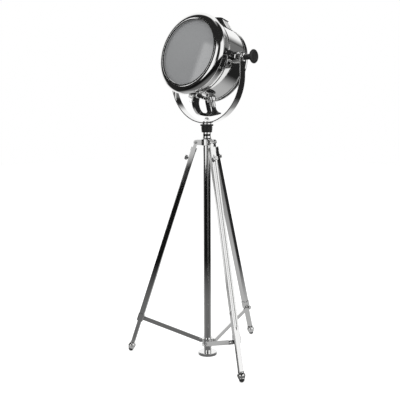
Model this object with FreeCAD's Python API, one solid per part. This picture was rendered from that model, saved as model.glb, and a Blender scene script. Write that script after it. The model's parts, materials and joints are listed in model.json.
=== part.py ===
import FreeCAD, Part
import math
import os

# Tripod spotlight floor lamp, in millimetres.
# +Z is up, the drum faces -Y, and the origin is the centre of the underside of the base disc.
# Every piece is drawn in the frame of what carries it (the head, a leg or a strut) and is then
# placed in the lamp's frame.

os.makedirs("parts", exist_ok=True)
V = FreeCAD.Vector
X_AXIS = V(1, 0, 0)
Y_AXIS = V(0, 1, 0)
Z_AXIS = V(0, 0, 1)
ORIGIN = V(0, 0, 0)

# ---- fineness of turned outlines ----
arc_steps = 3               # straight runs in a small arc
dome_steps = 7              # in a wide one

# ---- clearances ----
running_fit = 0.05          # radial, a shaft turning in its hole
sliding_gap = 0.3           # between a moving piece and what it slides along
side_gap = 0.5              # beside a strut, so that the open pivot stays free

# ---- column, base disc ----
column_radius = 19.05
column_wall = 1.6
base_radius = 47.0
base_height = 15.0
base_edge_round = 4.0
base_spigot_length = 22.0

# ---- hub at the top of the column ----
hub_bottom = 1062.0
hub_body_radius = 29.0
hub_shoulder_height = 30.0
hub_top = hub_bottom + 56.0
hub_socket_depth = 30.0
hub_pivot_radius = 53.0     # from the column's axis to a leg's pivot
hub_pivot_height = hub_bottom + 15.5
hub_ear_radius = 12.0
hub_ear_thickness = 5.0
tongue_thickness = 12.0
hub_bolt_radius = 4.0
hub_bolt_head_radius = 7.5
hub_bolt_head_length = 8.0

# ---- stem and grip under the yoke ----
stem_radius = 20.0
stem_shoulder = hub_top + 16.0
stem_spigot_radius = 15.0
stem_top = stem_shoulder + 30.0
grip_bottom = hub_top + 8.0
grip_top = grip_bottom + 40.0
grip_low_radius = 25.5
grip_neck_radius = 28.0
grip_lip_radius = 32.0
grip_lip_height = 9.0

# ---- tripod ----
leg_count = 3
tripod_turn = 4.1           # turn of the tripod about the column, against the head
leg_spread = 18.1           # a leg's angle from upright
leg_folded_spread = 1.2     # the same, when the tripod is folded
leg_width = 29.0            # across the leg
leg_depth = 26.0            # along the spread
leg_wall = 1.3
leg_corner = 3.0
leg_tube_start = 30.0       # distances along a leg are from its pivot at the hub
leg_tube_end = 957.0
slot_width = 9.0
slot_start = 70.0
slot_end = 887.0
inner_width = 22.0
inner_depth = 19.0
inner_wall = 1.3
inner_corner = 2.0
inner_start = 72.0
slider_length = 34.0
guide_length = 14.0
cap_length = 15.0           # bright cap round the top of the leg tube
cap_wall = 1.6

# ---- foot ----
foot_collar_radius = 17.0
foot_collar_length = 8.0
foot_waist_radius = 12.5
foot_bell_radius = 17.5
pad_radius = 13.0
leg_length = (hub_pivot_height - pad_radius) / math.cos(math.radians(leg_spread))
foot_bell_at = leg_length - 5.918
inner_end = foot_bell_at - 30.0

# ---- thumbscrew on a leg ----
thumb_at = 86.0
thumb_shank_radius = 3.0
thumb_head_radius = 12.5
thumb_head_length = 13.0
thumb_neck_radius = 7.0
thumb_neck_length = 5.0
thumb_lobes = 6

# ---- strut, collar ----
strut_height = 22.0
strut_thickness = 6.0
strut_eye_radius = 11.0
strut_pin_radius = 4.0
strut_pivot_at = 950.0      # along the leg
strut_pivot_inset = 12.0    # from the leg's centre line towards the column
clamp_wall = 2.2
clamp_length = 40.0
clamp_end_gap = 3.0
collar_pivot_radius = 38.0
collar_pivot_height = 66.0
collar_radius = 27.0
collar_lip_radius = 30.5
collar_lip_height = 5.0
collar_bottom = 47.0
collar_top = 85.0
collar_lug_thickness = 7.0
collar_lug_radius = 8.5
strut_bolt_radius = 10.0
strut_bolt_length = 14.0
collar_screw_height = 77.5
collar_screw_radius = 6.0
collar_screw_head_end = 45.0

# ---- drum and yoke ----
drum_radius = 180.0
yoke_half_width = drum_radius + 43.0
yoke_strip = 5.0
yoke_width = 38.0
yoke_bottom = grip_top + 4.0
yoke_arm_rise = 80.0        # from the centre of the yoke's bend to the tilt axis
pivot_height = yoke_bottom + yoke_half_width + yoke_arm_rise
yoke_edge_round = 1.2
spindle_radius = 10.0
spindle_flange_radius = 24.0
spindle_bottom = hub_top - 12.0
spindle_top = yoke_bottom + 29.0
nut_radius = 17.0
nut_height = 13.0
nut_washer_radius = 22.0
nut_washer_height = 4.0

# ---- head ----
head_tilt = 13.5            # front upwards, as photographed
drum_wall = 1.4
drum_rear = 84.0            # behind the tilt axis
drum_step = 66.0            # start of the front band, ahead of the tilt axis
band_radius = drum_radius + 6.0
bezel_seat = 101.0          # the band's front face
bead_radius = 2.5
rim_radius = drum_radius + 3.0
rim_depth = 6.0
dome_depth = 30.0
dome_wall = 1.3
boss_disc_radius = 34.0     # raised centre of the rear dome
boss_disc_depth = 5.0

# ---- bezel and lens ----
bezel_radius = drum_radius + 17.0
bezel_widest = 116.0
bezel_front = 138.0
bezel_crest_radius = drum_radius - 4.0
lens_radius = drum_radius - 18.0
lip_radius = lens_radius - 5.5
lip_front = 131.5
lens_thickness = 4.0
lens_front = 127.5
lens_gap = 0.5
gasket_width = 10.0
gasket_depth = 4.0
bezel_skin = 2.5
bezel_rear_radius = drum_radius + 10.0

# ---- lamp inside ----
reflector_mouth = drum_radius - 30.0
reflector_neck = 26.0
reflector_rear = -46.0
reflector_front = 96.8
reflector_wall = 1.2
bulb_radius = 30.0
bulb_centre = 12.0
bulb_neck_radius = 13.0
socket_radius = 19.0
socket_length = 40.0
bracket_width = 26.0
bracket_thickness = 3.0

# ---- vent hood on top of the drum ----
hood_front = 10.0           # behind the tilt axis
hood_rear = 56.0
hood_rise = 35.0            # of the crown above the drum
hood_top_half = 47.0
hood_low_half = 88.0
hood_lip = 3.0
hood_wall = 1.5
hood_cap = 2.0
hood_cap_overhang = 3.0
hood_louvres = 5
hood_louvre_gap = 4.5
vent_hole_radius = 16.0

# ---- trunnions and tilt knobs ----
pad_half_height = 21.0
pad_forward = 92.0
pad_rearward = 27.0
pad_thickness = 4.0
boss_radius = 27.0
boss_end = drum_radius + 34.0
boss_groove = 3.0
front_foot_radius = 13.0
front_foot_at = 74.0
front_foot_end = drum_radius + 16.0
stub_radius = 8.0
stub_end = yoke_half_width + 33.0
pivot_collar_radius = 20.0
pivot_collar_end = yoke_half_width + 13.0
tilt_washer_radius = 24.0
knob_neck_radius = 11.0
knob_radius = 31.0
knob_length = 42.0
tilt_knob_start = yoke_half_width + 26.5

# ---- knob under the drum ----
drum_knob_side = 10.0       # degrees round the drum, from its lowest line
drum_knob_rearward = 43.0
drum_knob_lean = 21.0
drum_boss_radius = 21.0
drum_boss_length = 14.0
drum_neck_radius = 13.5
drum_neck_collar = 19.0
drum_neck_length = 42.0
drum_knob_length = 40.0
drum_knob_radius = 29.5

# ---- steering handle under the drum ----
handle_thickness = 14.0
handle_reach = drum_radius + 89.0        # from the tilt axis to the lowest run
handle_bar = 15.0
clamp_block_length = 44.0
clamp_block_width = 30.0
clamp_block_height = 16.0

# ---- small screws ----
screw_head_radius = 4.5
screw_head_height = 2.6
screw_shank_radius = 2.0
screw_shank_length = 7.0
band_screws = 8
band_screw_back = 14.0      # behind the bezel

# ---- cable gland ----
gland_radius = 9.0
gland_length = 22.0
gland_bore = 3.6
gland_down = 112.0


# ======== shapes used again and again ========

def rod(radius, length, base=ORIGIN, direction=Z_AXIS):
    return Part.makeCylinder(radius, length, base, direction)


def pipe(radius, bore, length, base=ORIGIN, direction=Z_AXIS):
    return rod(radius, length, base, direction).cut(rod(bore, length, base, direction))


def line(a, b):
    return Part.makeLine(a, b)


def arc(a, middle, b):
    return Part.Arc(a, middle, b).toShape()


def turned(points, axis_point=ORIGIN, axis=Z_AXIS):
    """Turn a closed outline about an axis.  A pair of points is an arc, which passes the first
    and ends at the second; a third item is its number of straight steps."""
    corners = [points[0]]
    for item in points[1:]:
        if isinstance(item, tuple):
            steps = item[2] if len(item) > 2 else arc_steps
            corners += arc(corners[-1], item[0], item[1]).discretize(steps + 1)[1:]
        else:
            corners.append(item)
    face = Part.Face(Part.makePolygon(corners + [points[0]]))
    return face.revolve(axis_point, axis, 360)


def rz(radius, height):
    """A point of an outline that is turned about Z."""
    return V(radius, 0, height)


def ry(radius, forward):
    """A point of an outline that is turned about the drum's axis, by its distance forwards."""
    return V(radius, -forward, 0)


def rounded_bar(depth, width, corner, bottom, top):
    """An upright bar with rounded corners, centred on Z."""
    bar = Part.makeBox(depth, width, top - bottom, V(-depth / 2, -width / 2, bottom))
    upright = [e for e in bar.Edges if abs(e.Vertexes[0].Z - e.Vertexes[1].Z) > 1]
    return bar.makeFillet(corner, upright)


def rounded_tube(depth, width, corner, wall, bottom, top):
    outside = rounded_bar(depth, width, corner, bottom, top)
    inside_corner = max(corner - wall, 0.4)
    inside = rounded_bar(depth - 2 * wall, width - 2 * wall, inside_corner, bottom, top)
    return outside.cut(inside)


def placed(shape, *placements):
    """The shape, moved by the last placement first."""
    whole = FreeCAD.Placement()
    for placement in placements:
        whole = whole.multiply(placement)
    moved = shape.copy()
    moved.Placement = whole.multiply(moved.Placement)
    return moved


def turn(axis, degrees, at=ORIGIN):
    return FreeCAD.Placement(at, FreeCAD.Rotation(axis, degrees))


def joined(shapes):
    return shapes[0].multiFuse(shapes[1:]).removeSplitter()


def write(node, shape):
    if isinstance(shape, list):
        shape = Part.makeCompound(shape)
    shape.exportStep("parts/" + node + ".step")
    print(node, len(shape.Solids), "solids,", round(shape.Volume), "mm3, valid", shape.isValid())


def domed_screw(head_radius, head_height, shank_radius, shank_length):
    """A round-head screw along Z: its head stands above z = 0."""
    head = turned([
        rz(0, 0), rz(head_radius, 0),
        (rz(head_radius * 0.72, head_height * 0.72), rz(head_radius * 0.2, head_height)),
        rz(0, head_height),
    ])
    return head.fuse(rod(shank_radius, shank_length, V(0, 0, -shank_length)))


def acorn_end(radius, length):
    """A hexagon with a pointed dome, standing on z = 0."""
    hexagon = Part.makePolygon(
        [V(radius * math.cos(math.radians(a)), radius * math.sin(math.radians(a)), 0)
         for a in range(0, 361, 60)])
    flat = Part.Face(hexagon).extrude(V(0, 0, length * 0.5))
    flat_radius = radius * math.cos(math.radians(30))
    dome = turned([
        rz(0, length * 0.5), rz(flat_radius, length * 0.5),
        (rz(flat_radius * 0.75, length * 0.84), rz(flat_radius * 0.12, length)),
        rz(0, length),
    ])
    return flat.fuse(dome)


def bell_knob(neck_radius, rim_radius, length):
    """A flared hand knob along Z, narrow at z = 0, with a rounded rim and a dished face."""
    rim = rim_radius * 0.16
    return turned([
        rz(0, 0), rz(neck_radius, 0), rz(neck_radius, length * 0.14),
        (rz(neck_radius + (rim_radius - neck_radius) * 0.30, length * 0.56),
         rz(rim_radius - rim * 0.4, length * 0.80), dome_steps),
        (rz(rim_radius, length * 0.80 + rim * 0.6), rz(rim_radius - rim * 0.6, length - 1.0)),
        rz(rim_radius * 0.72, length), rz(rim_radius * 0.62, length - 2.0), rz(0, length - 2.0),
    ])


# ======== placements ========

HEAD = turn(X_AXIS, -head_tilt, V(0, 0, pivot_height))
leg_names = ["rear", "left", "right"]
leg_azimuths = [90 + tripod_turn + 360 / leg_count * k for k in range(leg_count)]


def leg_place(azimuth):
    """Z points up along the leg, X away from the column, and the origin is the hub pivot."""
    hub_pivot = V(hub_pivot_radius, 0, hub_pivot_height)
    return [turn(Z_AXIS, azimuth), turn(Y_AXIS, -leg_spread, hub_pivot)]


# the strut's outer pivot in the plane of its leg
spread = math.radians(leg_spread)
pivot_out = (hub_pivot_radius + strut_pivot_at * math.sin(spread)
             - strut_pivot_inset * math.cos(spread))
pivot_up = (hub_pivot_height - strut_pivot_at * math.cos(spread)
            - strut_pivot_inset * math.sin(spread))
strut_run = pivot_out - collar_pivot_radius
strut_rise = pivot_up - collar_pivot_height
strut_length = math.hypot(strut_run, strut_rise)
strut_slope = math.degrees(math.atan2(strut_rise, strut_run))
strut_inner_face = leg_width / 2 + clamp_wall + side_gap
strut_side = strut_inner_face + strut_thickness / 2     # beside the leg's plane


def strut_place(azimuth):
    """X runs along the strut from the collar's pivot outwards."""
    inner_pivot = V(collar_pivot_radius, -strut_side, collar_pivot_height)
    return [turn(Z_AXIS, azimuth), turn(Y_AXIS, -strut_slope, inner_pivot)]


# folded: where the collar and the struts end up when the legs stand almost upright
folded = math.radians(leg_folded_spread)
folded_out = (hub_pivot_radius + strut_pivot_at * math.sin(folded)
              - strut_pivot_inset * math.cos(folded))
folded_up = (hub_pivot_height - strut_pivot_at * math.cos(folded)
             - strut_pivot_inset * math.sin(folded))
folded_run = folded_out - collar_pivot_radius
folded_collar = folded_up + math.sqrt(strut_length ** 2 - folded_run ** 2)
collar_travel = folded_collar - collar_pivot_height
strut_swing = strut_slope + math.degrees(math.acos(folded_run / strut_length))
leg_swing = leg_spread - leg_folded_spread
print("legs swing", round(leg_swing, 3), "degrees; collar rises", round(collar_travel, 3),
      "mm; struts swing", round(strut_swing, 3), "degrees")
print("strut length", round(strut_length, 2), "slope", round(strut_slope, 3),
      "outer pivot", round(pivot_out, 2), round(pivot_up, 2))


# ======== the stand ========

def column_tube():
    bore = column_radius - column_wall
    foot = base_height
    top = hub_bottom + hub_socket_depth
    return pipe(column_radius, bore, top - foot, V(0, 0, foot))


def base_disc():
    edge = base_edge_round
    spigot = column_radius - column_wall - running_fit
    return turned([
        rz(0, 0), rz(base_radius - 1.5, 0), rz(base_radius, 1.5),
        rz(base_radius, base_height - edge),
        (rz(base_radius - edge * 0.29, base_height - edge * 0.29),
         rz(base_radius - edge, base_height)),
        rz(spigot, base_height), rz(spigot, base_height + base_spigot_length - 2),
        rz(spigot - 2, base_height + base_spigot_length), rz(0, base_height + base_spigot_length),
    ])


def leg_hub():
    """A turned body with a concave neck, and three pairs of ears that hold the legs' tongues."""
    socket = column_radius + running_fit
    shoulder = hub_bottom + hub_shoulder_height
    body = turned([
        rz(spindle_radius + 3, hub_bottom), rz(hub_body_radius - 2, hub_bottom),
        rz(hub_body_radius, hub_bottom + 2), rz(hub_body_radius, shoulder),
        (rz(stem_radius + 3.2, shoulder + 7), rz(stem_radius + 0.8, hub_top)),
        rz(spindle_radius + 3, hub_top),
    ])
    half_width = tongue_thickness / 2 + sliding_gap + hub_ear_thickness
    root = hub_body_radius - 10
    ear = joined([
        rod(hub_ear_radius, 2 * half_width, V(hub_pivot_radius, -half_width, hub_pivot_height),
            Y_AXIS),
        Part.Face(Part.makePolygon([
            V(root, -half_width, hub_bottom + 1),
            V(hub_pivot_radius, -half_width, hub_pivot_height - hub_ear_radius),
            V(hub_pivot_radius, -half_width, hub_pivot_height + hub_ear_radius),
            V(root, -half_width, shoulder - 1), V(root, -half_width, hub_bottom + 1),
        ])).extrude(V(0, 2 * half_width, 0)),
    ])
    ears = [placed(ear, turn(Z_AXIS, a)) for a in leg_azimuths]
    hub = joined([body] + ears)
    slot_half = tongue_thickness / 2 + sliding_gap
    slot_root = hub_pivot_radius - hub_ear_radius - 1.5
    slot = Part.makeBox(40, 2 * slot_half, 80, V(slot_root, -slot_half, hub_bottom - 20))
    pin = rod(hub_bolt_radius, 60, V(hub_pivot_radius, -30, hub_pivot_height), Y_AXIS)
    for azimuth in leg_azimuths:
        hub = hub.cut(placed(slot.fuse(pin), turn(Z_AXIS, azimuth)))
    return hub.cut(rod(socket, hub_socket_depth, V(0, 0, hub_bottom)))


def hub_bolts():
    half = tongue_thickness / 2 + sliding_gap + hub_ear_thickness
    shank = rod(hub_bolt_radius, 2 * half, V(0, 0, -half))
    head = placed(acorn_end(hub_bolt_head_radius, hub_bolt_head_length), turn(Z_AXIS, 0, V(0, 0, half)))
    nut = placed(head, turn(X_AXIS, 180))
    bolt = placed(joined([shank, head, nut]), turn(X_AXIS, 90))
    at = turn(Z_AXIS, 0, V(hub_pivot_radius, 0, hub_pivot_height))
    return [placed(bolt, turn(Z_AXIS, a), at) for a in leg_azimuths]


def hub_stem():
    """A stub tube screwed into the hub: it carries the grip, and the yoke's spindle turns in it."""
    hub_spigot = spindle_radius + 3
    bore = spindle_radius + running_fit
    return turned([
        rz(bore, hub_top - 18), rz(hub_spigot, hub_top - 18), rz(hub_spigot, hub_top),
        rz(stem_radius - 1, hub_top), rz(stem_radius, hub_top + 1),
        rz(stem_radius, stem_shoulder), rz(stem_spigot_radius, stem_shoulder),
        rz(stem_spigot_radius, stem_top), rz(bore, stem_top),
    ])


def stem_grip():
    """A moulded black sleeve, widening to a lip under the yoke, with a groove below the lip."""
    lip = grip_top - grip_lip_height
    return turned([
        rz(stem_radius + running_fit, grip_bottom), rz(grip_low_radius - 1.5, grip_bottom),
        rz(grip_low_radius, grip_bottom + 1.5), rz(grip_neck_radius, lip - 5),
        rz(grip_neck_radius - 1.5, lip - 4), rz(grip_neck_radius - 1.5, lip - 1),
        (rz(grip_lip_radius - 1.2, lip + 0.8), rz(grip_lip_radius, lip + 3.5)),
        rz(grip_lip_radius, grip_top - 2.5), rz(grip_lip_radius - 2.5, grip_top),
        rz(stem_spigot_radius + running_fit, grip_top),
        rz(stem_spigot_radius + running_fit, stem_shoulder + running_fit),
        rz(stem_radius + running_fit, stem_shoulder + running_fit),
    ])


# ======== a leg, in its own frame ========

def leg_head():
    """The tongue that turns between the hub's ears, with a plug in the tube and a bright cap."""
    inside_depth = leg_depth - 2 * leg_wall - 2 * running_fit
    inside_width = leg_width - 2 * leg_wall - 2 * running_fit
    plug = rounded_bar(inside_depth, inside_width, leg_corner - leg_wall,
                       -leg_tube_start - 26, -leg_tube_start)
    cap_depth = leg_depth + 2 * cap_wall
    cap_width = leg_width + 2 * cap_wall
    cap = rounded_bar(cap_depth, cap_width, leg_corner + cap_wall,
                      -leg_tube_start - cap_length, -leg_tube_start + 4)
    cap = cap.cut(rounded_bar(leg_depth + 2 * running_fit, leg_width + 2 * running_fit,
                              leg_corner, -leg_tube_start - cap_length, -leg_tube_start))
    eye = rod(hub_ear_radius - 2, tongue_thickness, V(0, -tongue_thickness / 2, 0), Y_AXIS)
    neck = Part.makeBox(2 * hub_ear_radius - 8, tongue_thickness, leg_tube_start - 2,
                        V(-hub_ear_radius + 4, -tongue_thickness / 2, -leg_tube_start + 2))
    hole = rod(hub_bolt_radius + running_fit, 40, V(0, -20, 0), Y_AXIS)
    return joined([plug, cap, neck, eye]).cut(hole)


def leg_tube():
    """A rectangular tube with a long slot in its outer face, where the thumbscrew runs."""
    tube = rounded_tube(leg_depth, leg_width, leg_corner, leg_wall, -leg_tube_end, -leg_tube_start)
    radius = slot_width / 2
    slot = joined([
        Part.makeBox(leg_depth, slot_width, slot_end - slot_start - slot_width,
                     V(0, -radius, -slot_end + radius)),
        rod(radius, leg_depth, V(0, 0, -slot_start - radius), X_AXIS),
        rod(radius, leg_depth, V(0, 0, -slot_end + radius), X_AXIS),
    ])
    return tube.cut(slot)


def leg_inner():
    """The sliding inner leg: a smaller tube with a slider block at its top."""
    tube = rounded_tube(inner_depth, inner_width, inner_corner, inner_wall,
                        -inner_end, -inner_start)
    slider_depth = leg_depth - 2 * leg_wall - 2 * sliding_gap
    slider_width = leg_width - 2 * leg_wall - 2 * sliding_gap
    slider = rounded_bar(slider_depth, slider_width, 1.2, -inner_start - slider_length, -inner_start)
    screw_hole = rod(thumb_shank_radius + running_fit, leg_depth, V(0, 0, -thumb_at), X_AXIS)
    return joined([tube, slider]).cut(screw_hole)


def thumb_screw():
    """A lobed thumbscrew whose shank runs through the slot into the slider."""
    start = leg_depth / 2 + sliding_gap
    neck = rod(thumb_neck_radius, thumb_neck_length)
    core = rod(thumb_head_radius * 0.72, thumb_head_length, V(0, 0, thumb_neck_length))
    lobes = []
    lobe_radius = thumb_head_radius * 0.34
    for k in range(thumb_lobes):
        angle = 2 * math.pi * k / thumb_lobes
        out = thumb_head_radius - lobe_radius
        centre = V(out * math.cos(angle), out * math.sin(angle), thumb_neck_length)
        lobes.append(rod(lobe_radius, thumb_head_length, centre))
    dome = domed_screw(thumb_head_radius * 0.66, 2.2, thumb_head_radius * 0.5, 2)
    dome = placed(dome, turn(Z_AXIS, 0, V(0, 0, thumb_neck_length + thumb_head_length)))
    shank = rod(thumb_shank_radius, start, V(0, 0, -start + 1.0))
    screw = joined([neck, core, shank, dome] + lobes)
    return placed(screw, turn(Y_AXIS, 90, V(start, 0, -thumb_at)))


def foot():
    """A turned end: a plug in the inner leg, a collar, a waist and a flared bell."""
    collar_end = inner_end + foot_collar_length
    waist_at = (collar_end + foot_bell_at) / 2
    return turned([
        rz(0, -inner_end), rz(foot_collar_radius - 2, -inner_end),
        (rz(foot_collar_radius, -inner_end - 2), rz(foot_collar_radius, -inner_end - 4)),
        rz(foot_collar_radius - 1, -collar_end),
        (rz(foot_waist_radius, -waist_at), rz(foot_bell_radius - 1, -foot_bell_at + 3), dome_steps),
        (rz(foot_bell_radius, -foot_bell_at), rz(foot_bell_radius - 1.5, -foot_bell_at - 2)),
        rz(0, -foot_bell_at - 2),
    ])


def foot_plug():
    inside_depth = inner_depth - 2 * inner_wall - 2 * running_fit
    inside_width = inner_width - 2 * inner_wall - 2 * running_fit
    return rounded_bar(inside_depth, inside_width, 0.8, -inner_end, -inner_end + 24)


def foot_pad():
    """A black ball pad in the bell: its lowest point meets the floor."""
    height = hub_pivot_height - pad_radius
    along = height / math.cos(spread)
    flat = foot_bell_at + 2
    across = math.sqrt(pad_radius ** 2 - (along - flat) ** 2)
    return turned([
        rz(0, -flat), rz(across, -flat),
        (rz(pad_radius * math.sin(math.radians(70)), -along - pad_radius * math.cos(math.radians(70))),
         rz(0, -along - pad_radius), dome_steps),
    ])


def strut_clamp():
    """A sleeve round the lower end of the leg tube, with a pivot lug towards the column."""
    bottom = -leg_tube_end - clamp_end_gap
    top = bottom + clamp_length
    outside = rounded_bar(leg_depth + 2 * clamp_wall, leg_width + 2 * clamp_wall,
                          leg_corner + clamp_wall, bottom, top)
    bore = rounded_bar(leg_depth + 2 * running_fit, leg_width + 2 * running_fit,
                       leg_corner, -leg_tube_end, top)
    way = rounded_bar(inner_depth + 2 * sliding_gap, inner_width + 2 * sliding_gap,
                      inner_corner, bottom, top)
    face = leg_width / 2 + clamp_wall
    lug = rod(strut_eye_radius - 1, 7, V(-strut_pivot_inset, -face, -strut_pivot_at), Y_AXIS)
    return joined([outside, lug]).cut(bore).cut(way)


def for_each_leg(node, shape):
    for name, azimuth in zip(leg_names, leg_azimuths):
        shapes = shape if isinstance(shape, list) else [shape]
        write(node + "_" + name, [placed(s, *leg_place(azimuth)) for s in shapes])


# ======== struts and their collar ========

def strut():
    """A flat bar on edge, with round ends and a hole at each."""
    half = strut_thickness / 2
    bar = joined([
        Part.makeBox(strut_length, strut_thickness, strut_height, V(0, -half, -strut_height / 2)),
        rod(strut_eye_radius, strut_thickness, V(0, -half, 0), Y_AXIS),
        rod(strut_eye_radius, strut_thickness, V(strut_length, -half, 0), Y_AXIS),
    ])
    for x in (0, strut_length):
        bar = bar.cut(rod(strut_pin_radius + running_fit, 40, V(x, -20, 0), Y_AXIS))
    return bar


def strut_bolt():
    """A domed bolt outside the strut's outer end.  Its shank ends at the strut's inner face."""
    face = strut_thickness / 2
    knob = turned([
        rz(0, 0.4), rz(strut_bolt_radius * 0.6, 0.4), rz(strut_bolt_radius * 0.6, 3),
        rz(strut_bolt_radius, 4.5), rz(strut_bolt_radius, strut_bolt_length - 2),
        (rz(strut_bolt_radius * 0.7, strut_bolt_length - 0.4), rz(2, strut_bolt_length)),
        rz(0, strut_bolt_length),
    ])
    shank = rod(strut_pin_radius, strut_thickness + 0.8, V(0, 0, -strut_thickness))
    screw = placed(joined([knob, shank]), turn(X_AXIS, 90, V(strut_length, -face, 0)))
    return screw


def strut_collar():
    """A turned collar that slides on the column, with a lug for each strut."""
    bore = column_radius + sliding_gap
    lip = collar_lip_height
    body = turned([
        rz(bore, collar_bottom), rz(collar_lip_radius - 1, collar_bottom),
        rz(collar_lip_radius, collar_bottom + 1), rz(collar_lip_radius, collar_bottom + lip),
        rz(collar_radius, collar_bottom + lip + 2), rz(collar_radius, collar_top - lip - 2),
        rz(collar_lip_radius, collar_top - lip), rz(collar_lip_radius, collar_top - 1),
        rz(collar_lip_radius - 1, collar_top), rz(bore, collar_top),
    ])
    inner_face = strut_inner_face - side_gap - collar_lug_thickness
    lug = joined([
        rod(collar_lug_radius, collar_lug_thickness,
            V(collar_pivot_radius, -inner_face - collar_lug_thickness, collar_pivot_height), Y_AXIS),
        Part.makeBox(collar_pivot_radius - column_radius + 4, collar_lug_thickness,
                     2 * collar_lug_radius,
                     V(column_radius - 4, -inner_face - collar_lug_thickness,
                       collar_pivot_height - collar_lug_radius)),
    ])
    pin = rod(strut_pin_radius, 60, V(collar_pivot_radius, -60, collar_pivot_height), Y_AXIS)
    body = joined([body] + [placed(lug, turn(Z_AXIS, a)) for a in leg_azimuths])
    for azimuth in leg_azimuths:
        body = body.cut(placed(pin, turn(Z_AXIS, azimuth)))
    screw_hole = rod(thumb_shank_radius + running_fit, 30, V(bore - 2, 0, collar_screw_height), X_AXIS)
    body = body.cut(placed(screw_hole, turn(Z_AXIS, leg_azimuths[2])))
    return body.cut(rod(bore, collar_top - collar_bottom, V(0, 0, collar_bottom)))


def collar_bolts():
    """Round-head bolts that carry the struts' inner eyes."""
    inner_face = strut_inner_face - side_gap - collar_lug_thickness
    outer_face = strut_inner_face + strut_thickness
    shank = outer_face - inner_face + sliding_gap
    bolt = domed_screw(7.0, 3.4, strut_pin_radius, shank)
    bolt = placed(bolt, turn(X_AXIS, 90, V(collar_pivot_radius, -outer_face - sliding_gap,
                                           collar_pivot_height)))
    return [placed(bolt, turn(Z_AXIS, a)) for a in leg_azimuths]


def collar_screw():
    """The small round-headed screw that locks the collar on the column."""
    head_start = collar_lip_radius + sliding_gap
    tip = column_radius + sliding_gap
    head = turned([
        rz(0, head_start), rz(collar_screw_radius - 1, head_start),
        rz(collar_screw_radius, head_start + 1), rz(collar_screw_radius, collar_screw_head_end - 1),
        rz(collar_screw_radius - 1, collar_screw_head_end), rz(2.4, collar_screw_head_end),
        rz(2.4, collar_screw_head_end - 2.5), rz(0, collar_screw_head_end - 2.5),
    ])
    shank = rod(thumb_shank_radius, head_start - tip + 1, V(0, 0, tip))
    screw = placed(joined([head, shank]), turn(Y_AXIS, 90, V(0, 0, collar_screw_height)))
    return placed(screw, turn(Z_AXIS, leg_azimuths[2]))


# ======== yoke ========

yoke_centre = yoke_bottom + yoke_half_width
yoke_inner = yoke_half_width - yoke_strip


def yoke():
    """A flat strip bent to a U, with round ends and an eye at each."""
    outer = yoke_half_width
    half = yoke_width / 2
    straight = pivot_height - yoke_centre
    outline = [
        line(V(-outer, -half, pivot_height), V(-outer, -half, yoke_centre)),
        arc(V(-outer, -half, yoke_centre), V(0, -half, yoke_bottom), V(outer, -half, yoke_centre)),
        line(V(outer, -half, yoke_centre), V(outer, -half, pivot_height)),
        line(V(outer, -half, pivot_height), V(yoke_inner, -half, pivot_height)),
        line(V(yoke_inner, -half, pivot_height), V(yoke_inner, -half, yoke_centre)),
        arc(V(yoke_inner, -half, yoke_centre), V(0, -half, yoke_bottom + yoke_strip),
            V(-yoke_inner, -half, yoke_centre)),
        line(V(-yoke_inner, -half, yoke_centre), V(-yoke_inner, -half, pivot_height)),
        line(V(-yoke_inner, -half, pivot_height), V(-outer, -half, pivot_height)),
    ]
    strip = Part.Face(Part.Wire(outline)).extrude(V(0, yoke_width, 0))
    ends = [rod(half, yoke_strip, V(x, 0, pivot_height), X_AXIS) for x in (-outer, yoke_inner)]
    strip = joined([strip] + ends)
    long_edges = [e for e in strip.Edges
                  if abs(abs(e.CenterOfMass.y) - half) < 0.01 and e.Length > straight * 0.9]
    strip = strip.makeChamfer(yoke_edge_round, long_edges)
    eyes = rod(stub_radius + running_fit, 2 * outer + 20, V(-outer - 10, 0, pivot_height), X_AXIS)
    seat = rod(spindle_radius + running_fit, 40, V(0, 0, yoke_bottom - 20))
    return strip.cut(eyes).cut(seat)


def bend_cylinder(radius):
    return rod(radius, 200, V(0, -100, yoke_centre), Y_AXIS)


def yoke_spindle():
    """The yoke's spindle: it turns in the stem, and its flange is shaped to the bent strip."""
    flange = rod(spindle_flange_radius, 8, V(0, 0, grip_top + sliding_gap))
    flange = flange.cut(bend_cylinder(yoke_half_width + running_fit))
    shank = rod(spindle_radius, spindle_top - 3 - spindle_bottom, V(0, 0, spindle_bottom))
    tip = Part.makeCone(spindle_radius, spindle_radius - 3, 3, V(0, 0, spindle_top - 3))
    return joined([flange, shank, tip])


def spindle_nut():
    """A saddle washer and a six-sided nut that hold the yoke on its spindle."""
    seat = yoke_bottom + yoke_strip
    washer = rod(nut_washer_radius, nut_washer_height + 3, V(0, 0, seat - 2))
    washer = washer.common(bend_cylinder(yoke_inner - running_fit))
    top = seat + nut_washer_height + 1
    corners = [V(nut_radius * math.cos(math.radians(a)), nut_radius * math.sin(math.radians(a)),
                 top) for a in range(15, 376, 60)]
    nut = Part.Face(Part.makePolygon(corners)).extrude(V(0, 0, nut_height))
    dome = turned([rz(0, top - 1), rz(nut_radius + 1, top - 1), rz(nut_radius + 1, top + 3),
                   (rz(nut_radius * 0.92, top + nut_height * 0.8),
                    rz(nut_radius * 0.7, top + nut_height)),
                   rz(0, top + nut_height)])
    hole = rod(spindle_radius + running_fit, 60, V(0, 0, seat - 10))
    return [washer.cut(hole), nut.common(dome).cut(hole)]


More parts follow.
